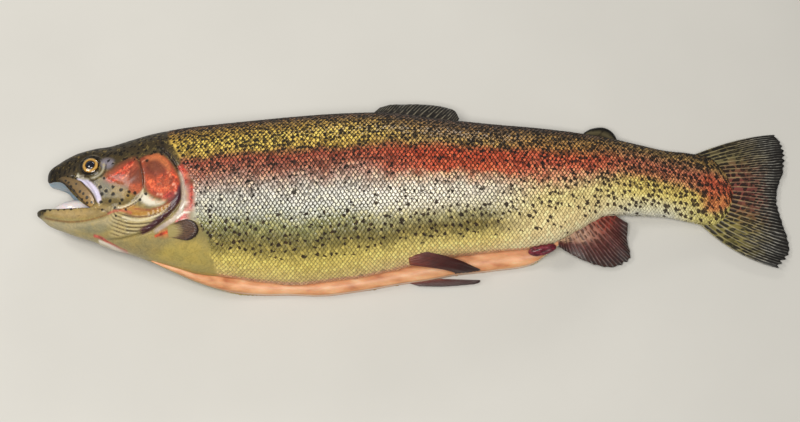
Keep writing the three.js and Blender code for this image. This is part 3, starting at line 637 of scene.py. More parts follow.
HEAD_LINES = [
    # round the eye, and behind the jaw blade
    ("16130e", 0.9, 1.0, 0.6, [(47.4, 15.6), (45.2, 20.7), (40.2, 22.9), (35.2, 20.7), (33.0, 15.6),
        (35.2, 10.5), (40.2, 8.3), (45.2, 10.5), (47.4, 15.6)]),
    ("a39f8c", 0.85, 0.7, 0.6, [(50.0, 18), (49.8, 12), (48, 8.6), (44, 6), (38, 5.4), (33, 7.4),
        (30.4, 11.6)]),
    ("2b2418", 0.8, 0.6, 0.5, [(51.8, 17), (51.4, 10), (48.4, 6.2), (44, 4.0), (39.4, 3.6)]),
    ("e6dfcc", 0.9, 0.8, 0.6, [(29.8, 9.2), (31.8, 8.2), (34, 7.8), (36, 7.4)]),
    # painted shade in the crease behind the jaw blade
    ("2a1c12", 0.85, 0.5, 0.4, [(31, 8.0), (37, 7.4), (42.6, 3.8), (47.4, -2), (50.4, -10)]),
    # glints in the red
    ("f0b8a0", 0.7, 0.5, 0.4, [(100.7, -1.9), (102.6, -2.6), (103.8, -4.2)]),
    ("f0b8a0", 0.7, 0.5, 0.4, [(89.7, -9.2), (92.2, -8.7), (94.7, -10.7)]),
    ("f2c4b4", 0.7, 0.6, 0.4, [(102.1, -7.6), (104.0, -8.6), (104.6, -10.2)]),
    ("d89070", 0.7, 0.5, 0.4, [(78.1, 15.3), (80.5, 16.9), (83.0, 16.5)]),
    ("e87a58", 0.7, 0.5, 0.4, [(62.6, 9.4), (67.6, 11.1), (72.4, 14.9)]),
    ("e87a58", 0.7, 0.5, 0.4, [(62.9, 2.8), (66.6, 5.1), (70.2, 9.5)]),
    ("e89870", 0.7, 0.5, 0.4, [(96.6, 7.2), (99.3, 4.6), (100.6, 1.3)]),
    ("e8a88c", 0.6, 0.5, 0.4, [(84.2, -11.0), (88.6, -13.6), (92.9, -14.3), (97.3, -13.1)]),
    ("e88a60", 0.6, 0.5, 0.4, [(92.6, -3.1), (95.9, -5.0), (99.6, -4.4)]),
    # dark streaks in the red
    ("5c1a14", 0.7, 0.5, 0.4, [(98.0, 4.0), (103.1, 1.9), (106.3, -3.3)]),
    ("5c1a14", 0.6, 0.5, 0.4, [(81.4, 11.7), (85.4, 7.6), (89.3, 4.2)]),
    ("5c1a14", 0.6, 0.4, 0.3, [(87.3, -11.7), (91.0, -12.4), (93.5, -11.2)]),
    ("5c1a14", 0.6, 0.5, 0.4, [(69.1, 7.0), (72.2, 8.1), (75.1, 12.0)]),
    # edges of the cheek bone
    ("2e0f0c", 0.85, 0.6, 0.5, [(73.2, 21.6), (76.9, 14.9), (78.7, 7.8), (79.8, 1.7), (79.4, -3.4)]),
    ("5c1d16", 0.6, 0.5, 0.5, [(68, 17), (70.4, 12), (70, 6), (72, 0)]),
    ("d8cdb0", 0.9, 0.7, 0.5, [(79.9, -4.2), (79.3, -7.8), (76.6, -12.1), (70.8, -15.4), (65, -17.2),
        (57.7, -17.4)]),
    ("3c2c18", 0.8, 0.45, 0.4, [(57.7, -18.6), (65, -18.4), (71.4, -16.6), (77.4, -13.2), (80.4, -8.4)]),
    # lower jaw and gill rays
    ("7d5a34", 0.75, 0.6, 0.5, [(5, -18.6), (14, -21.6), (26, -24), (38, -24.4), (48, -23.2), (56, -21.2)]),
    ("b4584c", 0.8, 0.8, 0.6, [(54, -21.4), (60, -19.8), (67, -20.2), (73, -22.2)]),
    ("7a2418", 0.8, 0.55, 0.5, [(73, -18.4), (80, -20.2), (88, -19.8), (95, -17.4), (102, -12.6)]),
    ("6a3a1c", 0.7, 0.5, 0.4, [(66, -21.6), (76, -24.6), (86, -24.4), (95, -21), (101, -16.8)]),
    ("e6dcbc", 0.85, 0.6, 0.5, [(64, -24.0), (74, -26.8), (84, -26.4), (93, -23), (99, -18.9)]),
    # gill opening: the gap behind the cover's free edge is painted near black and dark purple, as painted
    # shade
    ("3d1028", 0.95, 2.0, 1.0, [(107, -2), (106, -9.2), (103.6, -14.6), (98.7, -21.1), (92, -26.9),
        (85, -31.8), (76.6, -35.2)]),
    ("1e0a0c", 0.95, 0.8, 0.5, [(92, 24.8), (98.4, 18.4), (103, 12), (106.6, 4.8), (107.8, -3.4),
        (107, -10)]),
    ("b3a49a", 0.95, 1.5, 0.6, [(105.4, 9.6), (107.9, 2), (108.9, -6.4), (108.9, -13.5), (106.9, -20.5),
        (102.4, -26.2), (95, -31.0), (87, -35.2)]),
    ("b83428", 0.95, 2.5, 0.7, [(105.2, 14), (110.2, 6), (112.6, -3), (113.4, -12), (112.6, -19),
        (109.6, -26), (103.4, -31.0)]),
    # a painted highlight along the red lining
    ("e08468", 0.7, 0.7, 0.6, [(108.4, 8), (111.2, 0), (112.2, -9), (111.4, -17)]),
    ("5a3a26", 0.8, 0.9, 0.5, [(108.6, 13), (113.8, 4.6), (116.2, -4), (117.0, -13), (116.2, -20)]),
    ("f6eee6", 0.95, 0.6, 0.4, [(101, -31.2), (106.8, -28.5), (113.2, -25.8)]),
    ("f6eee6", 0.95, 0.6, 0.4, [(104, -26.5), (109.6, -22.1), (115, -18.6)]),
    ("f6eee6", 0.9, 0.5, 0.4, [(107, -20.6), (110.6, -14), (112.6, -7)]),
    ("a82c24", 0.9, 0.6, 0.4, [(103.4, -29), (108.6, -25.2), (114, -22.4)]),
    ("b83a1c", 0.9, 0.9, 0.6, [(104, -32.2), (96.8, -35.2), (88, -37.8)]),
    # slit of the throat
    ("b84a44", 0.9, 0.8, 0.6, [(42.5, -33.4), (48.5, -35.6), (55, -39.4), (62.3, -43.0), (68, -45.2)]),
    ("f0e6da", 0.9, 0.7, 0.6, [(46, -36.6), (53, -39.6), (66, -45.0), (80, -50.0)]),
    # nape
    ("241a10", 0.8, 1.1, 0.8, [(88.6, 42), (90.4, 32.2), (94.4, 25.6), (98.3, 20.4), (102.2, 15)]),
    # rims of the jaws
    ("1e160e", 0.9, 0.6, 0.5, [(2.5, -13.6), (13, -13.8), (24, -14.8), (34, -14.9), (41, -16)]),
    ("4a3a26", 0.6, 0.5, 0.4, [(50, -14), (56, -13.6), (60, -16.6), (63, -20)]),
    ("4a3a26", 0.6, 0.5, 0.4, [(46, -17), (52, -18.4), (56, -21)]),
]
DARK_SPOTS = [(48.4, -1.6, 1.25), (52.9, -4.8, 1.1), (50.0, -6.9, 1.1), (49.5, -12.6, 1.0),
              (58.2, -7.4, 1.25), (64.0, -4.9, 1.25), (56.1, -12.3, 1.1), (64.9, -12.2, 1.0),
              (74.3, -7.6, 1.1), (58.0, -2.3, 1.1), (69.9, -6.7, 0.9), (69.2, -9.4, 0.9), (82.2, -8.7, 0.9),
              (51.0, 5.0, 0.9), (81.9, 16.3, 1.0), (63.5, -14.6, 0.8), (78.0, -12.8, 0.9),
              (68.0, -19.4, 0.8), (59.9, -17.4, 0.8), (50.3, -18.0, 0.7), (60.7, -23.1, 0.7),
              (26.1, 1.1, 0.9), (28.6, -2.1, 0.8), (33.3, -3.6, 0.9), (38.9, -8.7, 1.1), (39.2, -12.5, 0.9),
              (22.0, 6.1, 0.8), (31.0, -6.9, 0.7), (36.0, -5.4, 0.8), (35.2, -9.6, 0.7), (42.6, -12.6, 0.8),
              (24.2, 4.4, 0.7), (30.2, 2.6, 0.7), (17.1, -14.6, 0.8), (21.6, -14.8, 0.8),
              (26.9, -15.0, 0.9), (10.9, -14.2, 0.9), (7.0, -14.4, 1.0), (91.8, 22.5, 1.1),
              (87.4, 23.2, 0.9)]
BASE_TONES = [(0, "a49a70"), (0.10, "9c9064"), (0.24, "988a58"), (0.34, "7e7248"), (0.46, "645a36"),
              (0.58, "463c24"), (0.70, "352c1a"), (0.85, "221c10"), (1, "17130b")]  # by turn
PAINTED_END = 145.0


def tint(code):
    return np.array(paint(code)[:3])


def lay(base, code, amounts):
    """Mixes a colour into the base colours by these amounts."""
    base += (tint(code) - base) * amounts[:, None]


near = np.zeros((rows_total, columns_total), bool)
near[MOUTH_ROWS:] = outside_x < PAINTED_END
flat = skin_grid[near][:, :2]
turn_near = np.broadcast_to(turn, near.shape)[near]
turns, tones = [t for t, _ in BASE_TONES], np.array([tint(code) for _, code in BASE_TONES])
base = np.stack([np.interp(turn_near, turns, channel) for channel in tones.T], axis=-1)
for code, strength, feather, outline in HEAD_PATCHES:
    lay(base, code, strength * within(flat, outline, feather))
under = beside(flat, COVER_FLOOR)[0]
inner = beside(flat, COVER_EDGE)[0]
creased = smooth(under, 0.3, 1.5) * smooth(inner, 0, 1.5) * smooth(flat[:, 0], 52, 62) * (flat[:, 0] < 104)
# The grooves between the folds over the gill rays are painted dark, as painted shade.
groove = 0.5 - 0.5 * np.sin(under * 2 * np.pi / GILL_RAY_PITCH)
lay(base, "c4b68a", 0.75 * creased)
lay(base, "2e2012", 0.88 * creased * groove**2)
for code, strength, width, feather, line in HEAD_LINES:
    lay(base, code, strength * stroke(flat, line, width, feather))
bare = smooth(beside(flat, spline(SCALED_EDGE, 8))[0], -1.5, 1.5)
tints = np.zeros((rows_total, columns_total, 4))
tints[near] = np.concatenate([base, bare[:, None]], axis=-1)

skin, row, col = grid_sheet(skin_grid, "fish", fish_coordinates)
layer = skin.verts.layers.float_color.new("tint")
for v, value in zip(skin.verts, tints[row, col]):
    v[layer] = value
skin.faces.ensure_lookup_table()
for face in skin.faces:
    face_col = sum(col[v.index] for v in face.verts) / 4
    face_row = sum(row[v.index] for v in face.verts) / 4
    if face_row < MOUTH_ROWS:
        face.material_index = LINING_OF_MOUTH
    elif (face_col < LINING or face_col > columns_total - 1 - LINING) and face_row > MOUTH_ROWS + HEAD_ROWS:
        face.material_index = LINING_OF_BELLY
close_up(skin)


def larger(a, b):
    return maths("MAXIMUM", a, b)


def between(value, low, high, out_low=0.0, out_high=1.0):
    """Smooth step from out_low to out_high while value goes from low to high."""
    inputs = {"Value": value, "From Min": low, "From Max": high, "To Min": out_low, "To Max": out_high}
    return node(value.tree, "MapRange", inputs, interpolation_type="SMOOTHSTEP", clamp=True)["Result"]


def evenly(value, low, high):
    """Straight line from low to high while value goes from 0 to 1."""
    return node(value.tree, "MapRange", {"Value": value, "To Min": low, "To Max": high})["Result"]


def ramp(value, stops):
    """Colours along value: stops are (place, colour code), or (place, share of white)."""
    made = value.tree.nodes.new("ShaderNodeValToRGB")
    wire(made.inputs[0], value)
    elements = made.color_ramp.elements
    elements.remove(elements[0])
    for n, (place, tone) in enumerate(stops):
        element = elements.new(place) if n else elements[0]
        element.position = place
        element.color = paint(tone) if isinstance(tone, str) else (tone, tone, tone, 1)
    return Value(made.outputs["Color"])


def levels(value, stops):
    """Plain values along value: stops are (place, value)."""
    return ramp(value, stops) + 0.0


def split(vector):
    """The three parts of a vector."""
    return node(vector.tree, "SeparateXYZ", {0: vector})


def vector_maths(operation, a, b):
    return node(a.tree, "VectorMath", {0: a, 1: b}, operation=operation)


def bump(height, strength, distance):
    return node(height.tree, "Bump", {"Height": height, "Strength": strength, "Distance": distance})["Normal"]


def group(name, inputs, outputs):
    """A new shader node group: (its inputs' values, the sockets of its outputs)."""
    tree = bpy.data.node_groups.new(name, "ShaderNodeTree")
    kinds = {"value": "NodeSocketFloat", "colour": "NodeSocketColor", "vector": "NodeSocketVector"}
    for in_out, sockets in (("INPUT", inputs), ("OUTPUT", outputs)):
        for socket, kind in sockets.items():
            tree.interface.new_socket(socket, in_out=in_out, socket_type=kinds[kind])
    start = tree.nodes.new("NodeGroupInput")
    return Values(start.outputs), tree.nodes.new("NodeGroupOutput").inputs


def placed(tree, name, inputs):
    """The outputs of the node group of that name, put into another tree with its own inputs."""
    made = tree.nodes.new("ShaderNodeGroup")
    made.node_tree = bpy.data.node_groups[name]
    for socket, value in inputs.items():
        wire(made.inputs[socket], value)
    return Values(made.outputs)


def attribute(place, name):
    """A vector or colour that the mesh carries, in the tree that place belongs to."""
    return node(place.tree, "Attribute", attribute_name=name)


def cells(x, y, randomness, wander=None):
    """Cells of about size 1 over x and y: (distance from a cell's point, the cell's random parts)."""
    place = node(x.tree, "CombineXYZ", {0: x, 1: y})["Vector"]
    if wander:
        cloud = node(x.tree, "TexNoise", {"Vector": place, "Scale": 2.2, "Detail": 2.0}, noise_dimensions="2D")
        shift = vector_maths("SUBTRACT", cloud["Color"], (0.5, 0.5, 0.5))["Vector"]
        shift = node(x.tree, "VectorMath", {0: shift, "Scale": wander}, operation="SCALE")["Vector"]
        place = vector_maths("ADD", place, shift)["Vector"]
    inputs = {"Vector": place, "Scale": 1.0, "Randomness": randomness}
    made = node(x.tree, "TexVoronoi", inputs, voronoi_dimensions="2D")
    return made["Distance"], split(made["Color"])


# Irregular dark spots, one to a cell of the given size in mm, on fish coordinates.
numbers = ("Cell", "Small", "Large", "Crowd", "Shift")
given, out = group("dark_spots", {"Fish": "vector", **dict.fromkeys(numbers, "value")}, {"Spots": "value"})
parts = split(given["Fish"])
away, chance = cells(parts[0] / given["Cell"], parts[2] / given["Cell"] + given["Shift"], 0.9, wander=0.55)
spot = between(evenly(chance[0], given["Small"], given["Large"]) - away, -0.035, 0.035)
wire(out["Spots"], spot * between(given["Crowd"] - chance[1], -0.02, 0.02))


def dark_spots(fish, **inputs):
    return placed(fish.tree, "dark_spots", {"Fish": fish, **inputs})["Spots"]


# Colour of a rainbow trout from its fish coordinates: dark spotted back, gold shoulder, red band,
# silver flank, olive under it and a yellow belly, all of it mottled. The stretches of the body
# follow each other, each from where it begins to show (mm) to where it has taken over.
SHOULDER = [(0, "d8a878"), (0.06, "e0c478"), (0.17, "e6d070"), (0.235, "9a8c4c"), (0.275, "7e7644"),
            (0.33, "93935e"), (0.375, "b4b6a4"), (0.43, "d8d4c8"), (0.47, "c8a898"), (0.505, "b06a54"),
            (0.55, "a8503a"), (0.578, "a06a42"), (0.60, "d2ac54"), (0.66, "ecca60"), (0.73, "c09a44"),
            (0.82, "6a4620"), (0.90, "321c10"), (1, "1a0e08")]
MIDDLE = [(0, "dba878"), (0.06, "f0d090"), (0.16, "f4dc84"), (0.225, "988a52"), (0.255, "847642"),
          (0.30, "b0a878"), (0.345, "e0d6b8"), (0.42, "f2e6d0"), (0.455, "e6b290"), (0.48, "d8603f"),
          (0.55, "c85034"), (0.58, "b06440"), (0.61, "b08e54"), (0.72, "8a683a"), (0.82, "4c2e18"),
          (1, "1e1009")]
HIND = [(0, "f0e4bc"), (0.18, "fae2a8"), (0.28, "f2dc9c"), (0.36, "f4e098"), (0.42, "f0cc98"),
        (0.46, "f0a880"), (0.50, "e87254"), (0.56, "d06042"), (0.60, "bc7448"), (0.64, "b8864c"),
        (0.72, "9a7640"), (0.82, "50341c"), (1, "22150b")]
STALK = [(0, "d8d8cc"), (0.14, "dcd8b8"), (0.24, "e2d6a0"), (0.32, "e8d47c"), (0.42, "e0c46c"),
         (0.48, "cc865e"), (0.56, "c06c54"), (0.64, "ac7656"), (0.75, "94784a"), (0.88, "5c4624"),
         (1, "261c0c")]
given, out = group("trout_colour", {"Fish": "vector", "Place": "vector"},
                   {"Color": "colour", "Spots": "value", "Outline": "value"})
fish = given["Fish"]
x, up = split(fish)[0], split(fish)[1]
level = up + (mottle(given["Place"], 55, 3.0, 0.6) - 0.5) * 0.085
colour = ramp(level, SHOULDER)
for begins, full, stops in ((210, 290, MIDDLE), (320, 370, HIND), (395, 440, STALK)):
    colour = blend(between(x, begins, full), colour, ramp(level, stops))
lateral_line = between(abs(up - 0.514), 0.009, 0.003) * between(x, 120, 200, 0.15, 0.45)
colour = blend(lateral_line, colour, "38160f")
slit_edge = between(up, 0.055, 0.03) * between(x, 95, 130) * between(x, 376, 350)
colour = blend(slit_edge, colour, "dba27c")
blush = between(x, 478, 492) * between(abs(up - 0.44), 0.26, 0.12)
colour = blend(blush * 0.8, colour, "c4573c")
green = between(x, 455, 485) * between(up, 0.32, 0.2)
colour = blend(green * 0.85, colour, "c2b45c")

tail = between(x, 372, 430)
hind = between(x, 330, 372)
fine_crowd = levels(up, [(0, 0), (0.34, 0), (0.38, 0.30), (0.50, 0.40), (0.57, 0.62), (0.66, 0.92), (1, 1)])
fine_small = levels(up, [(0, 0.08), (0.46, 0.10), (0.60, 0.20), (1, 0.24)])
fine_large = levels(up, [(0, 0.22), (0.46, 0.28), (0.60, 0.46), (1, 0.50)])
fine_spots = dark_spots(fish, Cell=3.4, Small=fine_small, Large=fine_large, Shift=0.0,
                        Crowd=fine_crowd * (1.0 - tail * 0.6))
belly_crowd = levels(up, [(0, 0), (0.17, 0), (0.21, 0.7), (0.34, 0.85), (0.37, 0.25), (0.44, 0.1), (0.52, 0.2),
                          (0.6, 0.4)])
hind_crowd = levels(up, [(0, 0), (0.16, 0.05), (0.24, 0.55), (0.36, 0.85), (1, 0.9)])
bold_spots = dark_spots(fish, Cell=5.4, Small=0.17, Large=0.27, Shift=7.3,
                        Crowd=belly_crowd * (1.0 - hind) + hind_crowd * (hind - tail))
tail_crowd = levels(up, [(0, 0.25), (0.12, 0.5), (0.2, 0.95), (1, 1)])
tail_spots = dark_spots(fish, Cell=4.2, Small=between(x, 455, 485, 0.20, 0.29),
                        Large=between(x, 440, 485, 0.38, 0.44), Shift=3.1, Crowd=tail_crowd * tail)
spots = larger(larger(fine_spots, bold_spots), tail_spots)
ink = blend(between(up, 0.36, 0.46), "24100a", "0e0a07")
wire(out["Color"], blend(spots * 0.94, colour, ink))
wire(out["Spots"], spots)
# Outline: how dark the scales' rims are painted, partly their own dark edges and partly painted shade where
# they overlap.
outline = levels(up, [(0, 0.30), (0.18, 0.36), (0.22, 0.30), (0.30, 0.38), (0.38, 0.88), (0.50, 0.95),
                      (1, 0.98)])
pale = between(x, 330, 390) * between(up, 0.48, 0.38, 0.0, 0.5)
wire(out["Outline"], outline * (1.0 - pale) * between(x, 494, 466, 0.35, 1.0))

# Spots of the head at their own places, as seen from either side.
given, out = group("head_spots", {"Place": "vector"}, {"Spots": "value"})
flat_place = vector_maths("MULTIPLY", given["Place"], (1 / MM, 1 / MM, 0.0))["Vector"]
depths = []
for x, y, radius in DARK_SPOTS:
    centre = (x - FISH_MIDDLE[0], y - FISH_MIDDLE[1], 0.0)
    depths.append(radius - vector_maths("DISTANCE", flat_place, centre)["Value"])
deepest = depths[0]
for depth in depths[1:]:
    deepest = larger(deepest, depth)
wander = (mottle(given["Place"], 700.0, 1.0) - 0.42) * 1.2
wire(out["Spots"], between(deepest + wander, -0.35, 0.15))

skin_coat, surface, place = material("trout_skin", 0.36, Coat_Roughness=0.1, Specular_IOR_Level=0.3)
fish = attribute(place, "fish")["Vector"]
painted = attribute(place, "tint")
trout = placed(place.tree, "trout_colour", {"Fish": fish, "Place": place})
fine = mottle(place, 420, 4.0, 0.65)
blotch = mottle(place, 130, 3.0, 0.6)
grit = node(place.tree, "TexNoise", {"Vector": place, "Scale": 300.0, "Detail": 4.0, "Roughness": 0.62,
                                     "Distortion": 1.3})["Fac"]
channels = node(place.tree, "SeparateColor", {0: painted["Color"]})
red = channels[0] - channels[1] * 2.2
olive = between(red, 0.12, 0.0)
blood = between(red, 0.25, 0.5)
colour = blend(between(blotch, 0.35, 0.7, 0.0, 0.35), painted["Color"], "f0d9b0", "SOFT_LIGHT")
tone = ramp(grit, [(0.34, "686868"), (0.5, "bcbcbc"), (0.64, "f6f6f6")])
colour = blend(between(red, 0.12, 0.35, 0.22, 1.0), colour, tone, "OVERLAY")
# Pale flecks on the red parts of the head are painted highlights.
colour = blend(blood * between(fine, 0.52, 0.68, 0.0, 0.6), colour, "eaa084")
colour = blend(blood * between(blotch, 0.54, 0.40, 0.0, 0.65), colour, "6a3a22")
colour = blend(olive * between(grit, 0.56, 0.66, 0.0, 0.4), colour, "a8904e")
up = split(fish)[1]
crown = levels(up, [(0, 0), (0.58, 0), (0.64, 0.75), (1, 0.9)])
crown_spots = dark_spots(fish, Cell=3.9, Small=0.22, Large=0.34, Crowd=crown * olive, Shift=1.7)
marks = larger(crown_spots, placed(place.tree, "head_spots", {"Place": place})["Spots"])
colour = blend(marks * 0.92, colour, "15100b")
wire(surface["Base Color"], blend(painted["Alpha"], trout["Color"], colour))
wetness = between(up, 0.85, 0.55, 0.25, 1.0) * 0.3
wire(surface["Coat Weight"], wetness * (1.0 - marks * 0.8))
wire(surface["Roughness"], larger(between(fine, 0.3, 0.7, 0.42, 0.62), marks * 0.75))
wire(surface["Normal"], bump(fine + blotch * 1.5, 0.35, 0.0005))

mouth_lining, surface, place = material("mouth_lining", 0.3, Coat_Weight=0.5, Coat_Roughness=0.1,
                                        Subsurface_Weight=0.15, Subsurface_Scale=0.003)
parts = split(place)
wet = blend(mottle(place, 300, 3.0), "c9cfd8", "e6dcdd")
wet = blend(between(parts[1], -0.007, -0.001), wet, "93a8b8")
# Deeper in, towards the throat, the lining is painted near black, as painted shadow.
wire(surface["Base Color"], blend(between(parts[0], -0.262, -0.222), wet, "241012"))

belly_lining, surface, place = material("belly_lining", 0.5, Coat_Weight=0.12, Coat_Roughness=0.25,
                                        Subsurface_Weight=0.2, Subsurface_Scale=0.004)
FLESH_GRAIN = (1.0, 3.0, 3.0)  # long strands from head to tail
flesh = ramp(mottle(place, 60, 3.0, 0.5, FLESH_GRAIN),
             [(0.25, "b87048"), (0.45, "da9a6a"), (0.6, "eab080"), (0.8, "f4cca2")])
veins = between(mottle(place, 220, 4.0, 0.7, (0.5, 3.0, 3.0)), 0.62, 0.74, 0.0, 0.35)
flesh = blend(veins, flesh, "b4583a")
parts = split(attribute(place, "fish")["Vector"])
rind = between(parts[1], -0.009, -0.003) * between(parts[0], 120, 170)
wire(surface["Base Color"], blend(rind * 0.85, flesh, "e6dccc"))

trout_skin = bare_object("trout_skin", skin, skin_coat, mouth_lining, belly_lining)
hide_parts("head", "lower_jaw", "gill_cover_left", "gill_cover_right", "gill_rays_left",
            "gill_rays_right", "trunk_front", "trunk_middle", "trunk_rear", "tail_stalk")

# ---- Scales ----
# Thin rounded plates of clear bone, each rooted under the ones ahead and free at its rear edge.
# They start behind the gill opening and reach the fork of the tail, in rows that keep step with
# the lateral line, and get smaller towards head and tail.
LATERAL_LINE = 0.512
PITCH_ALONG, PITCH_AROUND = 1.5, 4.5
SCALE_LENGTH, SCALE_WIDTH, SCALE_THICKNESS = 4.9, 4.7, 0.13
SCALES_BEGIN, SCALES_END = 92.0, 508.0
SCALED_FROM = {0.0: 134, 0.16: 128, 0.275: 125, 0.335: 119.5, 0.37: 117.5, 0.41: 117.5, 0.48: 115, 0.51: 111.5,
               0.54: 109, 0.63: 103, 0.72: 98, 0.85: 95, 1.0: 93}  # first scale (mm) at each turn
UNWRAP_LENGTH, UNWRAP_GIRTH = 440, 400  # millimetres of flank that the unwrapped square holds
PATCH = 0.0028


def flank_surface(x, turn, side):
    points = flank(x, (turn - 0.5) * np.pi, side)
    points[..., 2] = on_floor(points[..., 2])
    return points


def scale_size(x):
    return 1 - 0.24 * smooth(x, 340, 480) - 0.16 * (1 - smooth(x, 95, 150)) - 0.22 * smooth(x, 485, 508)


def scale_places(side):
    """Each scale's x, turn, distance from the lateral line and from mid-back, and from the first ones."""
    found = []
    x, odd = SCALES_BEGIN, 0
    turns = np.linspace(0.0, 1.0, 241)
    while x < SCALES_END:
        ring = flank_surface(np.full_like(turns, x), turns, np.full_like(turns, side))
        steps = np.linalg.norm(np.diff(ring[:, 1:], axis=0), axis=1)
        reach = np.concatenate([[0], np.cumsum(steps)])
        reach -= np.interp(LATERAL_LINE, turns, reach)
        pitch = PITCH_AROUND * scale_size(x)
        k = np.arange(math.ceil(reach[0] / pitch), math.floor(reach[-1] / pitch) + 1) + 0.5 * odd
        places = k * pitch
        rim = 0.5 + 5.0 * smooth(x, 90, 130) * (1 - smooth(x, 350, 380)) * (side < 0)
        places = places[(places > reach[0] + rim) & (places < reach[-1] + 0.4 * pitch * odd)]
        at = np.interp(places, reach, turns)
        begins = np.interp(at, list(SCALED_FROM), list(SCALED_FROM.values()))
        ends = 507 - 26 * np.abs(at - 0.55) ** 1.5
        keep = (x > begins) & (x < ends)
        found.append(np.stack([np.full(keep.sum(), x), at[keep], places[keep], reach[-1] - places[keep],
                               x - begins[keep]], axis=-1))
        x += PITCH_ALONG * scale_size(x)
        odd = 1 - odd
    return np.concatenate(found)


one_scale = bmesh.new()
bmesh.ops.create_cone(one_scale, cap_ends=True, segments=10, radius1=0.5, radius2=0.36, depth=1.0)
one_scale.verts.ensure_lookup_table()
scale_shape = np.array([v.co for v in one_scale.verts])
scale_faces = [[v.index for v in face.verts] for face in one_scale.faces]
one_scale.free()


def unit(vectors):
    return vectors / np.linalg.norm(vectors, axis=1, keepdims=True)


def scale_points(places, side, dice):
    """Corner points (mm) of each scale, its fish coordinates, and its own coordinates and chance."""
    count = len(places)
    x = places[:, 0] + dice.uniform(-0.2, 0.2, count)
    turn = np.clip(places[:, 1], 0.004, 0.9995)
    flat = np.full(count, float(side))
    here = flank_surface(x, turn, flat)
    tail = flank_surface(x + 0.4, turn, flat) - here
    up = unit(flank_surface(x, np.minimum(turn + 0.002, 1.0), flat)
              - flank_surface(x, np.maximum(turn - 0.002, 0), flat))
    tail = unit(tail - (tail * up).sum(1, keepdims=True) * up)
    out = np.cross(tail, up) * side
    yaw = dice.normal(0, 0.05, count)[:, None]
    tail, up = tail * np.cos(yaw) + up * np.sin(yaw), up * np.cos(yaw) - tail * np.sin(yaw)
    young = (1 - smooth(places[:, 4], 0, 9))[:, None]
    size = scale_size(x)[:, None] * dice.uniform(0.95, 1.05, count)[:, None] * (1 - 0.25 * young)
    along, across, over = scale_shape.T[:, None]
    a = along * SCALE_LENGTH * size
    b = across * SCALE_WIDTH * size * (1 + 0.14 * along)
    lean = dice.normal(0, 0.035, count)[:, None]
    settled = 1 - 0.6 * smooth(x, 490, 508)[:, None]
    rise = (0.07 - 0.16 * young + a * (0.115 + 0.05 * young)) * settled + b * lean - 0.009 * b**2
    rise += SCALE_THICKNESS * (over + 0.5)
    points = (here[:, None] + a[..., None] * tail[:, None] + b[..., None] * up[:, None]
              + rise[..., None] * out[:, None])
    points[..., 2] = np.maximum(points[..., 2], 0.02 * (1 + over))
    fish = np.stack([x[:, None] + a, turn[:, None] + b * 0.0055, -side * (places[:, 3:4] - b)], axis=-1)
    chance = dice.uniform(0, 1, count)[:, None]
    own = np.stack([along * 2 + 0 * a, across * 2 + 0 * a, chance + 0 * a], axis=-1)
    # Each scale is a small patch at its root's place on the unwrapped flank.
    root = np.stack([(x - 80) / UNWRAP_LENGTH * 0.96 + 0.02,
                     0.25 + places[:, 2] / UNWRAP_GIRTH + (0.5 if side < 0 else 0)], axis=-1)
    return points, fish, own, root[:, None] + scale_shape[None, :, :2] * PATCH


def scale_coat(name, places, side, seed):
    """One joined mesh of scales at these places."""
    count, per = len(places), len(scale_shape)
    points, fish, own, patch = scale_points(places, side, np.random.default_rng(seed))
    data = bpy.data.meshes.new(name)
    data.vertices.add(count * per)
    data.vertices.foreach_set("co", ((points - FISH_MIDDLE) * MM).ravel())
    corner = np.concatenate([np.array(face) for face in scale_faces])
    data.loops.add(count * len(corner))
    order = (corner[None, :] + per * np.arange(count)[:, None]).ravel()
    data.loops.foreach_set("vertex_index", order)
    starts = np.cumsum([0] + [len(face) for face in scale_faces[:-1]])
    data.polygons.add(count * len(scale_faces))
    starts = starts[None, :] + len(corner) * np.arange(count)[:, None]
    data.polygons.foreach_set("loop_start", starts.ravel())
    data.update(calc_edges=True)
    for key, values in (("fish", fish), ("scale", own)):
        data.attributes.new(key, "FLOAT_VECTOR", "POINT").data.foreach_set("vector", values.ravel())
    data.uv_layers.new(name="OFBake").uv.foreach_set("vector", patch.reshape(-1, 2)[order].ravel())
    data.polygons.foreach_set("use_smooth", np.ones(len(data.polygons), bool))
    made = add_object(name, data)
    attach(made, "root")
    return made


def length(x, y):
    return maths("SQRT", x * x + y * y)


scale_finish, surface, place = material("trout_scales", 0.3, Coat_Roughness=0.08)
fish = attribute(place, "fish")["Vector"]
up = split(fish)[1]
own = split(attribute(place, "scale")["Vector"])
trout = placed(place.tree, "trout_colour", {"Fish": fish, "Place": place})
# Each scale's rim is painted dark: partly the dark edge the scale has, partly painted shade where the scales
# overlap.
margin = between(length(own[0], own[1]) + own[0] * 0.06, 0.55, 0.86)
shade = margin * evenly(own[2], 0.7, 1.05) * trout["Outline"]
# Random scales are painted lighter, as painted glints, and others darker, as painted shade.
painted_glints = blend(between(own[2], 0.5, 1.0, 0.0, 0.8), trout["Color"], "fff6dc", "SOFT_LIGHT")
painted_shade_amount = between(own[2], 0.45, 0.0, 0.0, 0.6) * between(up, 0.30, 0.42, 0.35, 1.0)
wire(surface["Base Color"], blend(shade, blend(painted_shade_amount, painted_glints, "5a4830", "MULTIPLY"), "0e0906"))
darkness = larger(trout["Spots"], shade)
wetness = between(up, 0.8, 0.55, 0.0, 1.0) * 0.32
wire(surface["Coat Weight"], wetness * (1.0 - darkness))
dull = larger(evenly(own[2], 0.22, 0.5), between(up, 0.68, 0.9, 0.0, 0.68))
wire(surface["Roughness"], larger(dull, darkness * 0.85))

SIDES = (("left", 1), ("right", -1))
for side_name, sign in SIDES:
    rows_of_scales = scale_places(sign)
    ahead = rows_of_scales[:, 0] < np.median(rows_of_scales[:, 0])
    for part, chosen, seed in (("front", ahead, 7 + sign), ("rear", ~ahead, 9 + sign)):
        coat = scale_coat(f"scales_{side_name}_{part}", rows_of_scales[chosen], sign, seed)
        coat.data.materials.append(scale_finish)

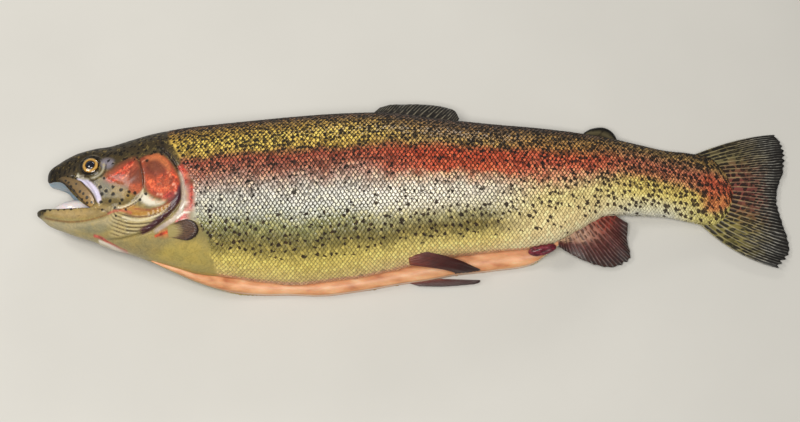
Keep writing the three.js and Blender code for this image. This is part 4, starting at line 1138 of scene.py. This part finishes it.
# ---- Eyes ----
# Firm balls in their sockets: a blue-black pupil that stands out a little, a gold iris ringed
# dark at both edges, and the clear wet front over all of it.
EYE_CENTRE_Z, EYE_OUT, EYE_RADIUS = 27.3, 19.4, 7.0
EYE_LEAN, EYE_TOE = 0.16, 0.14  # how far each eye looks up and ahead (radians)
EYE_PROFILE = [(0, 1.75), (0.9, 1.72), (1.8, 1.58), (2.5, 1.36), (2.85, 1.18), (3.05, 0.98), (3.4, 0.95),
               (4.2, 0.85), (5.1, 0.62), (5.8, 0.32), (6.2, 0.0), (6.6, -0.5), (6.9, -1.4), (6.4, -2.6),
               (4.5, -3.6), (0, -4.2)]  # radius and height of the turned ball, from front to back
eye_finish, surface, place = material("eye", 0.15, Coat_Weight=0.6, Coat_Roughness=0.02)
own = split(attribute(place, "eye")["Vector"])
uneven = (mottle(place, 420, 3.0) - 0.5) * 0.10
iris = ramp(length(own[0], own[1]) / EYE_RADIUS + uneven,
            [(0, "0b1222"), (0.40, "0d1526"), (0.45, "050404"), (0.50, "4e3616"), (0.56, "b5843c"),
             (0.70, "d0a85c"), (0.79, "a07430"), (0.84, "1c130b"), (0.92, "0c0907")])
flecks = between(mottle(place, 1500, 2.0), 0.55, 0.75, 0.0, 0.5)
wire(surface["Base Color"], blend(flecks, iris, "5b3f1c"))
for side_name, sign in SIDES:
    eye = bmesh.new()
    profile = [eye.verts.new((r, 0, h)) for r, h in EYE_PROFILE]
    edges = [eye.edges.new(pair) for pair in zip(profile, profile[1:])]
    bmesh.ops.spin(eye, geom=profile + edges, axis=(0, 0, 1), cent=(0, 0, 0), steps=56,
                   angle=2 * math.pi, use_merge=True)
    bmesh.ops.remove_doubles(eye, verts=eye.verts, dist=1e-4)
    layer = eye.verts.layers.float_vector.new("eye")
    for v in eye.verts:
        v[layer] = v.co
    leaned = Matrix.Rotation(-EYE_LEAN if sign > 0 else math.pi + EYE_LEAN, 4, "X")
    centre = Vector((EYE[0], EYE[1], EYE_CENTRE_Z + sign * EYE_OUT)) - Vector(FISH_MIDDLE)
    placing = Matrix.Scale(MM, 4) @ Matrix.Translation(centre) @ leaned @ Matrix.Rotation(-EYE_TOE, 4, "Y")
    bmesh.ops.transform(eye, matrix=placing, verts=eye.verts)
    bmesh.ops.recalc_face_normals(eye, faces=eye.faces)
    ball = bare_object(f"eyeball_{side_name}", eye, eye_finish)
    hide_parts(f"eye_{side_name}")

# ---- Upper jaw blades ----
# The maxilla on each side: a thin blade of bone under spotted skin, hinged at the snout, its
# rounded rear end lying over the corner of the mouth.
BLADE_UPPER = spline([(15.8, 8.2), (19.5, 10.0), (24.5, 9.9), (32.3, 6.0), (38.8, -0.8), (43.2, -6.6),
                      (45.1, -12), (43.2, -15.6)])
BLADE_LOWER = spline([(15.8, 8.2), (18.0, 6.6), (22.2, 3.4), (26.8, -0.8), (32.2, -7.4), (36.8, -12.4),
                      (40.0, -15.2), (43.2, -15.6)])
BLADE_HALF_THICKNESS = 0.75
BLADE_FLARE = math.tan(0.33)  # how fast the blades part towards the rear
BLADE_ROOT_X, BLADE_ROOT_OUT, BLADE_AXIS_Z = 17, 12.9, 25.8  # where they start, each side of this height
BLADE_BOW = 0.0048  # how much each blade curves in above and below


def along_line(line, shares):
    """Points at these shares of the way along a line."""
    steps = np.linspace(0, 1, len(line))
    return np.stack([np.interp(shares, steps, part) for part in line.T], axis=-1)


blade_finish, surface, place = material("jaw_blade", 0.4, Coat_Weight=0.35, Coat_Roughness=0.12)
own = split(attribute(place, "tone")["Vector"])
shade = own[0] + (mottle(place, 500, 3.0) - 0.5) * 0.5
olive = ramp(shade, [(0, "4a3c24"), (0.35, "6e5836"), (0.7, "8f7040"), (1, "b08c48")])
# The blade is painted darker along both edges, as painted shade where it meets the skin.
olive = blend(between(abs(own[1] - 0.5), 0.34, 0.47) * 0.9, olive, "2a160e")
marks = placed(place.tree, "head_spots", {"Place": place})["Spots"]
wire(surface["Base Color"], blend(marks * 0.92, olive, "0e0a07"))
for side_name, sign in SIDES:
    us, vs = np.linspace(0, 1, 46), np.linspace(0, 1, 33)
    over = 1 - np.abs(1 - 2 * vs)
    rise = over[:, None, None]
    flat = along_line(BLADE_LOWER, us)[None] * (1 - rise) + along_line(BLADE_UPPER, us)[None] * rise
    dome = np.clip(4 * over * (1 - over), 0, 1)[:, None] ** 0.5 * np.clip(4 * us * (1 - us), 0, 1)[None] ** 0.3
    face = np.where(vs < 0.5, 1.0, -1.0)[:, None]
    middle = BLADE_ROOT_OUT + (flat[..., 0] - BLADE_ROOT_X) * BLADE_FLARE - BLADE_BOW * (flat[..., 1] + 3) ** 2
    z = BLADE_AXIS_Z + sign * (middle + face * BLADE_HALF_THICKNESS * dome)
    tone = np.stack([us[None] + 0 * z, over[:, None] + 0 * z, 0 * z], axis=-1)
    blade = grid_sheet(np.concatenate([flat, z[..., None]], axis=-1), "tone", tone)[0]
    close_up(blade)
    made = bare_object(f"jaw_blade_{side_name}", blade, blade_finish)
    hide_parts(f"maxilla_{side_name}")

# ---- Tongue ----
# The tongue is a pale firm spoon of gristle under a wet skin. It lies on the floor of the mouth,
# rooted at the throat, with a hollow along its middle.
TONGUE, TONGUE_HALVES = (26, -10.8, 26.3), (14, 6.4, 6.8)
TONGUE_RISE = 1.4  # how far its rear end lies above its middle


def lump(name, finish, segments, rings, shape):
    """A ball reshaped point by point: shape gives the place (mm) of each point of the unit ball."""
    mesh = bmesh.new()
    bmesh.ops.create_uvsphere(mesh, u_segments=segments, v_segments=rings, radius=1.0)
    for v in mesh.verts:
        v.co = (Vector(shape(*v.co)) - Vector(FISH_MIDDLE)) * MM
    bmesh.ops.recalc_face_normals(mesh, faces=mesh.faces)
    return bare_object(name, mesh, finish)


def tongue_point(x, y, z):
    narrow = 1 - 0.35 * max(-x, 0)
    groove = -0.14 * math.exp(-(z / 0.3) ** 2) * max(y, 0)
    half_length, half_height, half_width = TONGUE_HALVES
    return (TONGUE[0] + half_length * x, TONGUE[1] + half_height * (y + groove) + TONGUE_RISE * x,
            TONGUE[2] + half_width * z * narrow)


tongue_finish, surface, place = material("tongue", 0.28, Coat_Weight=0.6, Coat_Roughness=0.1,
                                         Subsurface_Weight=0.2, Subsurface_Scale=0.003)
wire(surface["Base Color"], blend(mottle(place, 350, 3.0), "d9d4dc", "efe4e0"))
made = lump("tongue_body", tongue_finish, 36, 20, tongue_point)
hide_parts("tongue")

# ---- Fins ----
# Each fin is a fan of soft jointed rays, which fork towards the margin, in a thin web of skin
# that frays between their tips.


def fin(name, finish, base, margin, middle=None, thick=3.0, thin=0.7, rays=16, forked=0.5, fray=0.03,
        wave=0.3, lift=(0, 0, 1), seed=1, rows=46, fine=8):
    """A closed rayed sheet from base to margin, which replaces the CAD fin of that name."""
    dice = np.random.default_rng(seed)
    count = rays * fine + 1
    u = np.linspace(0, 1, count)
    a, c = along_line(spline(base, 24), u), along_line(spline(margin, 24), u)
    b = along_line(spline(middle, 24), u) if middle else (a + c) / 2
    t = np.linspace(0, 1, 2 * rows + 1)
    v = 1 - np.abs(1 - 2 * t)
    face = np.where(t <= 0.5, 1.0, -1.0)
    number = u * rays
    along_ray = np.cos(np.pi * number) ** 2
    twigs = np.cos(2 * np.pi * number) ** 2
    torn = dice.uniform(0.2, 1.1, rays + 2) ** 2
    notch = fray * (1 - along_ray) * np.interp(number, np.arange(rays + 2), torn) * 2
    ragged = dice.uniform(-1, 1, 2 * rays + 3)
    notch += fray * 0.5 * np.interp(number * 2, np.arange(2 * rays + 3), ragged)
    v = v[:, None] * (1 - notch[None] * v[:, None] ** 6)
    weights = 2 * (v - 0.5) * (v - 1), -4 * v * (v - 1), 2 * v * (v - 0.5)
    points = sum(w[..., None] * line[None] for w, line in zip(weights, (a, b, c)))
    fork = smooth(v, forked - 0.2, forked + 0.15)
    ray = (1 - fork) * along_ray[None] + fork * twigs[None]
    ray = ray ** 1.5 * (1 - 0.5 * smooth(v, 0.8, 1.0))
    body = thick + (thin - thick) * np.clip(v * 1.25, 0, 1) ** 0.7
    ends = np.clip(4 * u * (1 - u), 0, 1)[None] ** 0.35
    outermost = np.maximum(v.max(axis=0, keepdims=True), 1e-6)
    tip = np.clip((1 - np.minimum(v / outermost, 1)) * 9, 0, 1) ** 0.5
    half = 0.5 * body * (0.8 + 0.2 * ray) * ends * tip
    bend = wave * np.sin(number * 2 * np.pi / 5.3 + 3 * v + seed) * v
    bend += wave * 0.5 * np.sin(number * 2.1 + seed) * v**2
    up = np.array(lift, float) / np.linalg.norm(lift)
    points = points + up * (bend + face[:, None] * half)[..., None]
    points[..., 2] = np.maximum(points[..., 2], np.where(face[:, None] > 0, 0.25 + half, 0.05))
    tone = np.stack([np.broadcast_to(number[None], v.shape), v, np.broadcast_to(u[None], v.shape)], axis=-1)
    sheet = grid_sheet(points, "tone", tone)[0]
    close_up(sheet)
    made = bare_object(name + "_rays", sheet, finish)
    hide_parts(name)


# Masks of a fin: Ray is 1 on a ray and Dashes on a dark dash, Out goes from base to margin and
# Across from the fin's front edge to its rear one.
numbers = ("Forked", "Narrow", "Rows", "Thin")
given, out = group("fin_rays", {"Tone": "vector", "Place": "vector", **dict.fromkeys(numbers, "value")},
                   dict.fromkeys(("Ray", "Out", "Across", "Dashes"), "value"))
parts = split(given["Tone"])
number = parts[0] + (mottle(given["Place"], 70, 2.0) - 0.5) * 0.45
single, double = (abs(maths("COSINE", number * (turns * math.pi))) for turns in (1, 2))
fork = between(parts[1] - given["Forked"], -0.15, 0.15)
ray = between(single * (1.0 - fork) + double * fork, given["Thin"], 0.98)
worn = between(mottle(given["Place"], 260, 3.0), 0.36, 0.6, 0.35, 1.0)
wire(out["Ray"], ray * worn)
wire(out["Out"], parts[1])
wire(out["Across"], parts[2])
marks = []
for columns_to_a_ray in (1.0, 2.0):
    lane = number * columns_to_a_ray * given["Narrow"]
    away, chance = cells(lane - 0.2, parts[1] * given["Rows"] + lane * 0.37, 0.6)
    dash = between(evenly(chance[0], 0.42, 0.56) - away, -0.06, 0.06)
    marks.append(dash * between(chance[1], 0.1, 0.14))
wire(out["Dashes"], (marks[0] * (1.0 - fork) + marks[1] * fork) * (1.0 - ray * 0.75))


def fin_finish(name, web, rays, dashes, dash_colour, ray_weight=0.6, forked=0.5, roughness=0.4, root=None,
               root_reach=0.3, narrow=1.0, rows=8.0, thin=0.6, dashes_from=-0.3):
    """A fin's material: web and ray colours from base to margin, and the darkness of its dashes.
    root gives colours across the fin's base, which fade out by root_reach."""
    made, surface, place = material(name, roughness, Coat_Weight=0.25, Coat_Roughness=0.12)
    mask = placed(place.tree, "fin_rays", {"Tone": attribute(place, "tone")["Vector"], "Place": place,
                                           "Forked": forked, "Narrow": narrow, "Rows": rows, "Thin": thin})
    cloud = (mottle(place, 160, 3.0) - 0.5) * 0.25
    out = mask["Out"] + cloud
    webs, bones = ramp(out, web), ramp(out, rays)
    if root:
        fade = between(out, root_reach * 1.4, root_reach * 0.5)
        across = ramp(mask["Across"] + cloud, root)
        webs, bones = blend(fade, webs, across), blend(fade * 0.4, bones, across)
    colour = blend(mask["Ray"] * ray_weight, webs, bones)
    marks = mask["Dashes"] * between(out, dashes_from - 0.05, dashes_from + 0.05) * dashes
    wire(surface["Base Color"], blend(marks, colour, dash_colour))
    wire(surface["Normal"], bump(mask["Ray"], 0.25, 0.0003))
    return made


dorsal_finish = fin_finish(
    "dorsal_web", [(0, "3c2e20"), (0.5, "262019"), (1, "14110e")],
    [(0, "7a6644"), (0.5, "8d8672"), (1, "7a776c")], 0.9, "0a0806", 0.8, rows=6.0, thin=0.85)
fin("dorsal_fin", dorsal_finish,
    [(237, 58, 27), (256, 58, 27), (280, 55, 27), (303, 52.5, 26)],
    [(248, 68.2, 26.4), (257, 70.4, 26.4), (268, 70.8, 26.4), (281, 70.4, 26.4), (294, 69, 26.4),
     (303, 65.6, 26.4), (306.5, 59.5, 26.4)],
    rays=14, thick=3.0, thin=1.0, fray=0.012, wave=0.4, seed=3)

adipose_finish = fin_finish(
    "adipose_skin",
    [(0, "2e2616"), (0.3, "3a3220"), (0.55, "564e36"), (0.7, "3a3424"), (0.8, "100e0a"), (1, "0a0907")],
    [(0, "4a3e22"), (0.3, "2a2216"), (0.75, "1c1710"), (1, "0a0907")],
    0.0, "14100c", 0.95, roughness=0.3, thin=0.9, narrow=3.0, rows=4.0)
fin("adipose_fin", adipose_finish, [(397, 47, 17.3), (408, 46, 16), (420, 44, 14.6)],
    [(399, 51.8, 17), (405, 55.3, 16.6), (412.7, 56.3, 16), (418.5, 54.4, 15), (422, 51, 14.4),
     (423.8, 46.5, 14)],
    rays=2, thick=3.4, thin=1.5, fray=0.01, wave=0.1, seed=5, rows=24, fine=20)

anal_finish = fin_finish(
    "anal_web", [(0, "a87858"), (0.25, "7c4238"), (0.6, "4c2020"), (0.8, "30181a"), (1, "221c1a")],
    [(0, "bc9070"), (0.3, "98655a"), (0.6, "7c4c46"), (0.85, "7c6a66"), (1, "7a7672")],
    0.8, "3c1a10", 0.8, root=[(0, "d0b088"), (0.4, "c09680"), (0.7, "943c2e"), (1, "8e2016")],
    root_reach=0.36, rows=10.0, narrow=1.4, thin=0.75)
fin("anal_fin", anal_finish, [(377.5, -31, 18), (396, -19, 16.5), (416, -9, 14.5)],
    [(378, -36.4, 17), (387, -40.6, 12), (401, -46, 8), (416, -48.6, 4.6), (427, -45, 3), (431.6, -39, 3),
     (429.5, -28, 5), (430, -16, 9)],
    rays=13, thick=3.2, thin=0.8, fray=0.022, wave=0.4, seed=7)

caudal_finish = fin_finish(
    "caudal_web",
    [(0, "5c5234"), (0.3, "4a402c"), (0.5, "2a231b"), (0.75, "14110e"), (0.92, "0a0908"), (1, "070606")],
    [(0, "b4a46c"), (0.3, "b8aa7c"), (0.55, "b0a488"), (0.8, "a8a69c"), (0.93, "6a6862"), (1, "100e0c")],
    0.92, "100b08", 0.9, 0.4, rows=12.0, thin=0.86, root_reach=0.62,
    root=[(0, "3a3220"), (0.18, "6e6440"), (0.34, "744838"), (0.5, "7a3c38"), (0.64, "784a36"),
          (0.8, "867a40"), (1, "746c38")])
fin("caudal_fin", caudal_finish,
    [(474, 34.5, 8.7), (497, 28, 7), (504, 10, 6), (497, -6, 6.4), (480, -13, 8)],
    [(543, 55.2, 3.4), (549, 43, 3), (547.5, 26, 3), (541.4, 8, 3), (544, -12, 3), (548.5, -34, 3),
     (539.6, -48.6, 3)],
    [(512, 49.3, 5.5), (522, 32, 4.6), (525, 9, 4.4), (522, -16, 4.4), (508, -36, 5)],
    rays=24, thick=3.6, thin=0.8, forked=0.35, fray=0.014, wave=0.5, seed=9, rows=60)


def on_flank(points, side, lift):
    """Points of a paired fin, lifted from the flank they lie on."""
    turns = np.linspace(0, 0.5, 400)
    found = []
    for x, y in points:
        ring = flank(np.full_like(turns, x), (turns - 0.5) * np.pi, np.full_like(turns, side))
        found.append((x, y, float(np.interp(y, ring[:, 1], ring[:, 2])) + side * lift))
    return found


pectoral_finish = fin_finish(
    "pectoral_web",
    [(0, "a89a60"), (0.3, "a0905a"), (0.42, "84704a"), (0.55, "6a4c34"), (0.8, "5a3a28"), (0.94, "2a1410"),
     (1, "200e0c")],
    [(0, "a89a60"), (0.3, "a0905a"), (0.44, "7c6244"), (0.6, "6f523a"), (0.85, "5f4030"), (0.94, "2e1812"),
     (1, "200e0c")],
    0.75, "1a0f0a", 0.4, rows=11.0, narrow=1.6, dashes_from=0.45)
fin("pectoral_fin_left", pectoral_finish, on_flank([(98, -31.6), (98, -34.8), (98.6, -38.2)], 1, 0.3),
    on_flank([(106, -28.8), (112.4, -27.4), (118, -29.8), (120.2, -34.4), (117.8, -38.8), (112, -41.2),
              (105.4, -40.0)], 1, 2.6),
    rays=12, thick=1.4, thin=3.0, fray=0.01, wave=0.15, seed=11, rows=36)
fin("pectoral_fin_right", pectoral_finish, [(97, -33, 3.2), (97, -38, 3), (98, -43, 3)],
    [(104, -33, 2.2), (112, -35, 1.6), (119, -42, 1.3), (114, -48.6, 1.4), (104, -48, 2)],
    rays=12, thick=2.6, thin=1.4, fray=0.02, wave=0.1, seed=13, rows=36)

pelvic_finish = fin_finish(
    "pelvic_web", [(0, "94502e"), (0.08, "6e2418"), (0.3, "4a130e"), (0.7, "380d0a"), (1, "240a0a")],
    [(0, "94502e"), (0.1, "742e20"), (0.35, "561f18"), (0.7, "451512"), (1, "3a1210")], 0.3, "160807", 0.6)
fin("pelvic_fin_left", pelvic_finish, [(267, -41, 30), (268.5, -46.5, 27), (270, -52, 22.5)],
    [(313, -49.6, 16.4), (321.7, -52.4, 11), (314, -54, 11), (303, -55.4, 11.6)],
    [(296, -46, 25.5), (296, -50, 22), (294, -54, 18)],
    rays=11, thick=2.2, thin=0.9, fray=0.02, wave=0.3, lift=(0.2, -0.5, 1), seed=15)
fin("pelvic_fin_right", pelvic_finish, [(270, -60, 2.6), (281, -58.6, 2.6), (293, -56.6, 2.6)],
    [(277, -62.2, 2.6), (296, -62.2, 2.4), (318, -60.2, 2.2), (322, -57.4, 2.2)],
    rays=11, thick=2.6, thin=1.2, fray=0.02, wave=0.1, seed=17, rows=30)

# ---- Vent ----
# The end of the gut is a short stub of soft flesh, dark with blood. It stands out behind the
# slit, where it was left in its hole, and is wrinkled along its length.
VENT, VENT_HALVES = (366, -38.6, 17.5), (10.5, 4.3, 3.5)
VENT_LEAN = 0.22  # radians up towards the tail


def vent_point(x, y, z):
    ridge = 1 + 0.10 * math.sin(5 * math.atan2(z, y) + 2.2 * x) + 0.05 * math.sin(9 * x + 3 * z)
    x, y, z = VENT_HALVES[0] * x, VENT_HALVES[1] * y * ridge, VENT_HALVES[2] * z * ridge
    along, across = math.cos(VENT_LEAN), math.sin(VENT_LEAN)
    return VENT[0] + x * along - y * across, VENT[1] + x * across + y * along, VENT[2] + z


vent_finish, surface, place = material("vent_flesh", 0.42, Coat_Weight=0.3, Coat_Roughness=0.15,
                                       Subsurface_Weight=0.2, Subsurface_Scale=0.003)
fold = mottle(place, 260, 4.0, 0.6, FLESH_GRAIN)
wire(surface["Base Color"], ramp(fold, [(0.3, "2e0a12"), (0.45, "54101f"), (0.6, "7d2436"), (0.8, "a8606a")]))
made = lump("vent_stub", vent_finish, 40, 24, vent_point)
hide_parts("vent")
